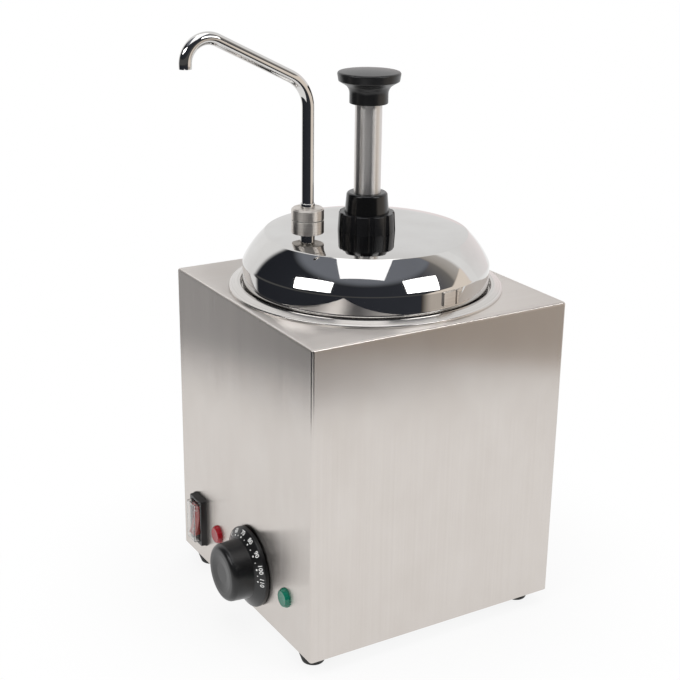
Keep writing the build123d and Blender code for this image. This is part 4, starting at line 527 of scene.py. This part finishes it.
def lettered(word, size):
    """A word as a thin flat print around the origin, its height in millimetres."""
    font_size, half_depth, bolder = 1.38, 0.06, 0.07
    text = bpy.data.curves.new("print_" + word, "FONT")
    text.body = word
    text.size = size * MM * font_size
    text.extrude = half_depth * MM
    text.offset = bolder * MM
    text.align_x, text.align_y = "CENTER", "CENTER"
    text.resolution_u = 4
    holder = bpy.data.objects.new("print_" + word, text)
    bpy.context.collection.objects.link(holder)
    bpy.context.view_layer.update()
    mesh = bpy.data.meshes.new_from_object(holder.evaluated_get(bpy.context.evaluated_depsgraph_get()))
    bm = bmesh.new()
    bm.from_mesh(mesh)
    bpy.data.objects.remove(holder)
    bpy.data.curves.remove(text)
    bpy.data.meshes.remove(mesh)
    bmesh.ops.remove_doubles(bm, verts=bm.verts, dist=1e-7)
    return bm


def dot(radius, tip, segments):
    """A round dot of print; radii in millimetres."""
    bm = bmesh.new()
    bmesh.ops.create_cone(bm, cap_ends=True, segments=segments, radius1=radius * MM, radius2=tip * MM,
                          depth=PRINT_DEPTH * MM)
    return bm


def dial_print(name, bm, radius, angle, crease=30):
    """Puts a white print on the dial's cone."""
    piece(name, on_cone(bm, radius, angle), "white_plastic", "dial", crease=crease, finish=white_print)


# Each number and its angle in degrees, clockwise from the top.
marks = ((30, -98), (40, -74.5), (50, -51), (60, -27), (70, -4), (80, 20), (90, 44.5), (100, 68), (110, 89))
for number, angle in marks:
    figures = lettered(str(number), NUMBER_HEIGHT)
    dial_print(f"dial_number_{number}", figures, NUMBER_RADIUS, angle, crease=20)
    dial_print(f"dial_dot_{number}", dot(0.75, 0.7, 20), DOT_RADIUS, angle)
for (low, start), (_, end) in zip(marks, marks[1:]):
    dial_print(f"dial_dot_{low + 5}", dot(0.48, 0.44, 16), DOT_RADIUS, (start + end) / 2)
dial_print("dial_off_mark", dot(1.0, 0.95, 24), OFF_RADIUS, OFF_ANGLE)


# ---- switch and pilot lamps -------------------------------------------------------------

COVER_SIZE, COVER_MIDDLE, COVER_EDGE, COVER_SHEET = (14.8, 33.3, 8.2), 5.7, 1.2, 0.8
MARK_DEPTH = 0.12

bm = sleeve((15, 33.5, 0.8, 1.6), (21, 40, 1.4, 1.6), (20.5, 39.5, 1.2, 4.9), (19.9, 38.9, 0.9, 5.2),
            (15.6, 34.1, 1.0, 5.2), (15, 33.5, 0.8, 4.9), (15, 33.5, 0.8, 1.6))
bmesh.ops.remove_doubles(bm, verts=bm.verts, dist=1e-6)
piece("switch_bezel", onto_panel(bm, SWITCH_X), "black_plastic", "casing", "switch_frame")

# Clear splash cover: a soft moulded box with rounded edges, open at the back.
bm = open_box(COVER_SIZE, COVER_MIDDLE, COVER_EDGE, 5)
piece("splash_cover", onto_panel(bm, SWITCH_X), "clear_cover", "casing", "switch_cover", wall=COVER_SHEET)

copied("red_rocker", "rocker", "red_rocker", "rocker", edge=0.35)

# The rocker's O is pressed in at rest and its I stands out; both prints follow its hollow face.
ring = turn(wire([(1.45, 0), (2.15, 0), (2.15, MARK_DEPTH), (1.45, MARK_DEPTH)], closed=True), 40)
bar = block((0.7, 4.2, MARK_DEPTH))
for name, bm, lean, out, z in (("rocker_mark_off", ring, 5, 4.86, 57.7),
                               ("rocker_mark_on", bar, -19, 7.12, 39.85)):
    bmesh.ops.rotate(bm, verts=bm.verts, matrix=Matrix.Rotation(radians(lean), 3, "X"))
    bmesh.ops.translate(bm, verts=bm.verts, vec=(0, 0, out * MM))
    piece(name, onto_panel(bm, SWITCH_X, z), "white_plastic", "rocker", finish=white_print)

lens_path = [(0, 2.3), (5.0, 2.3, 0.4), (6.1, 0.9), (6.2, 0), (7.5, 0), (7.5, 1.0, 0.2), (6.2, 3.6, 0.9),
             (4.6, 3.45, 1.0), (0, 3.3)]
for colour, x in (("red", LAMP_RED_X), ("green", LAMP_GREEN_X)):
    bm = onto_panel(turn(wire(lens_path, segments=4), 20), x)
    piece("pilot_lens_cap_" + colour, bm, colour + "_lens", "casing", "pilot_lens_" + colour, crease=12)


# ---- studio -------------------------------------------------------------------------

# The point that the lamps face, and how far from it they hang, in metres.
LIT_POINT = Vector((0, 0, 0.27))
LAMP_DISTANCE = 2.0


def aim(thing, place, target, tilt):
    """Puts a thing at a place, its -Z axis pointing at the target, then turns it about that axis."""
    facing = (target - place).to_track_quat("-Z", "Y").to_matrix().to_4x4()
    thing.matrix_world = Matrix.Translation(place) @ facing @ Matrix.Rotation(radians(tilt), 4, "Z")


def towards(azimuth, elevation, distance):
    """A point that far out from the lit point, azimuth 0 in front of the panel and 90 on its right."""
    a, e = radians(azimuth), radians(elevation)
    return Vector((sin(a) * cos(e), -cos(a) * cos(e), sin(e))) * distance + LIT_POINT


def scaled(owner, colour, amount):
    """A colour made brighter or darker by an amount."""
    node = add(owner, "VectorMath", {0: colour, "Scale": amount}, operation="SCALE")
    return node.outputs["Vector"]


def lighter(owner, first, second):
    """The lighter of two colours, channel by channel."""
    return add(owner, "VectorMath", {0: first, 1: second}, operation="MAXIMUM").outputs["Vector"]


for name, azimuth, elevation, tilt, width, height, brightness in (
        ("overhead_softbox", 54, 78, 0, 1.32, 1.90, 1.45),
        ("left_softbox", 4, 34.5, 16, 1.18, 0.44, 5.0),
        ("right_softbox", 117, 35, -15, 1.05, 0.53, 5.0)):
    lamp = bpy.data.lights.new(name, "AREA")
    lamp.shape, lamp.size, lamp.size_y = "RECTANGLE", width, height
    lamp.energy = brightness * pi * width * height
    softbox = bpy.data.objects.new(name, lamp)
    bpy.context.collection.objects.link(softbox)
    softbox.visible_camera = False
    aim(softbox, towards(azimuth, elevation, LAMP_DISTANCE), LIT_POINT, tilt)

# White paper under the object; its edge in front and on the right mirrors in the case. In metres.
paper_edge = ((0.590, -0.722), (0.590, 0.170), (0.628, 0.300), (0.600, 0.365), (0.500, 0.450),
              (0.400, 0.540), (0.400, 2.5), (-3.0, 2.5), (-3.0, 0.355))
bm = bmesh.new()
for corner in paper_edge:
    bm.verts.new((*corner, 0))
bmesh.ops.contextual_create(bm, geom=bm.verts[:])
bmesh.ops.recalc_face_normals(bm, faces=bm.faces)
floor_mesh = bpy.data.meshes.new("paper_floor")
bm.to_mesh(floor_mesh)
bm.free()
floor = bpy.data.objects.new("paper_floor", floor_mesh)
bpy.context.collection.objects.link(floor)

# To the eye and in reflections the paper glows white, a little less near the object, where its shadow
# shows; to all other light it is matt.
paper, place = start_finish("white_paper")
from_middle = add(paper, "VectorMath", {0: place}, operation="LENGTH").outputs["Value"]
fade = eased(paper, from_middle, 0.12, 0.3, 0.86, 1.0)
path = add(paper, "LightPath")
sight = maths(paper, "ADD", path.outputs["Is Camera Ray"], path.outputs["Is Glossy Ray"])
sight = maths(paper, "ADD", sight, path.outputs["Is Transmission Ray"], clamp=True)
seen = maths(paper, "MULTIPLY", sight, fade)
matt = add(paper, "BsdfDiffuse", {"Color": shade("#F0F0F0")})
glow = add(paper, "Emission", {"Color": (1, 1, 1, 1), "Strength": 1.0})
mixed = add(paper, "MixShader", {"Fac": seen, 1: matt.outputs["BSDF"], 2: glow.outputs["Emission"]})
add(paper, "OutputMaterial", {"Surface": mixed.outputs["Shader"]})
floor_mesh.materials.append(paper)

# The room: white walls behind and to the left, and a dark side where the camera stands.
world = bpy.data.worlds.new("studio")
bpy.context.scene.world = world
world.use_nodes = True
world.node_tree.nodes.clear()
looking = add(world, "SeparateXYZ", {"Vector": add(world, "TexCoord").outputs["Generated"]})
forward = maths(world, "MULTIPLY", looking.outputs["Y"], -1.0)
around = maths(world, "ARCTAN2", looking.outputs["X"], forward)
turned = add(world, "MapRange", {"Value": around, "From Min": -pi, "From Max": pi})
walls = add(world, "ValToRGB", {"Fac": turned.outputs["Result"]})
# Azimuth in degrees, then red, green and blue.
tones = ((-180, 0.95, 0.95, 0.95), (-122, 0.87, 0.87, 0.87), (-85, 0.98, 0.98, 0.98),
         (-65, 0.95, 0.95, 0.95), (-60, 0.02, 0.022, 0.028), (115, 0.036, 0.039, 0.048),
         (135, 0.12, 0.12, 0.13), (151, 0.2, 0.19, 0.18), (154, 0.4, 0.37, 0.34), (166, 0.55, 0.52, 0.49),
         (170, 1.0, 1.0, 1.0), (180, 1.0, 1.0, 1.0))
for number, (azimuth, *tone) in enumerate(tones):
    stops = walls.color_ramp.elements
    stop = stops.new((azimuth + 180) / 360) if 0 < number < len(tones) - 1 else stops[-1 if number else 0]
    stop.color = (*tone, 1)
ceiling = scaled(world, (0.92, 0.98, 1.12), eased(world, looking.outputs["Z"], 0.66, 0.78, 0.0, 0.22))
# Behind on the right, a light floor and a low bright wall that rises towards the back.
ground = eased(world, looking.outputs["Y"], 0.3, 0.5, 0.0, 1.0)
height = eased(world, looking.outputs["Z"], -0.3, -0.22, 0.55, 0.9)
rise = maths(world, "MULTIPLY_ADD", looking.outputs["Y"], -0.9, looking.outputs["Z"])
roof = eased(world, rise, -0.38, -0.32, 1.0, 0.0)
lower = maths(world, "MULTIPLY", maths(world, "MULTIPLY", ground, height), roof)
lower = scaled(world, (1.06, 0.95, 0.84), lower)
# A faint grey band at eye level all round, which lifts the darkest reflections a little.
level_off = maths(world, "ABSOLUTE", looking.outputs["Z"])
horizon = eased(world, level_off, 0.08, 0.2, 0.085, 0.0)
room = lighter(world, walls.outputs["Color"], ceiling)
room = lighter(world, room, horizon)
room = lighter(world, room, lower)
path = add(world, "LightPath")
shine = maths(world, "ADD", path.outputs["Is Glossy Ray"], path.outputs["Is Transmission Ray"], clamp=True)
mirrored = add(world, "Background", {"Color": room, "Strength": 1.0})
lighting = add(world, "Background", {"Color": (0.6, 0.6, 0.6, 1), "Strength": 1.0})
lit = add(world, "MixShader", {"Fac": shine, 1: lighting.outputs["Background"],
                               2: mirrored.outputs["Background"]})
backdrop = add(world, "Background", {"Color": (1, 1, 1, 1), "Strength": 1.0})
shown = add(world, "MixShader", {"Fac": path.outputs["Is Camera Ray"], 1: lit.outputs["Shader"],
                                 2: backdrop.outputs["Background"]})
add(world, "OutputWorld", {"Surface": shown.outputs["Shader"]})

bpy.context.scene.view_settings.view_transform = "Standard"
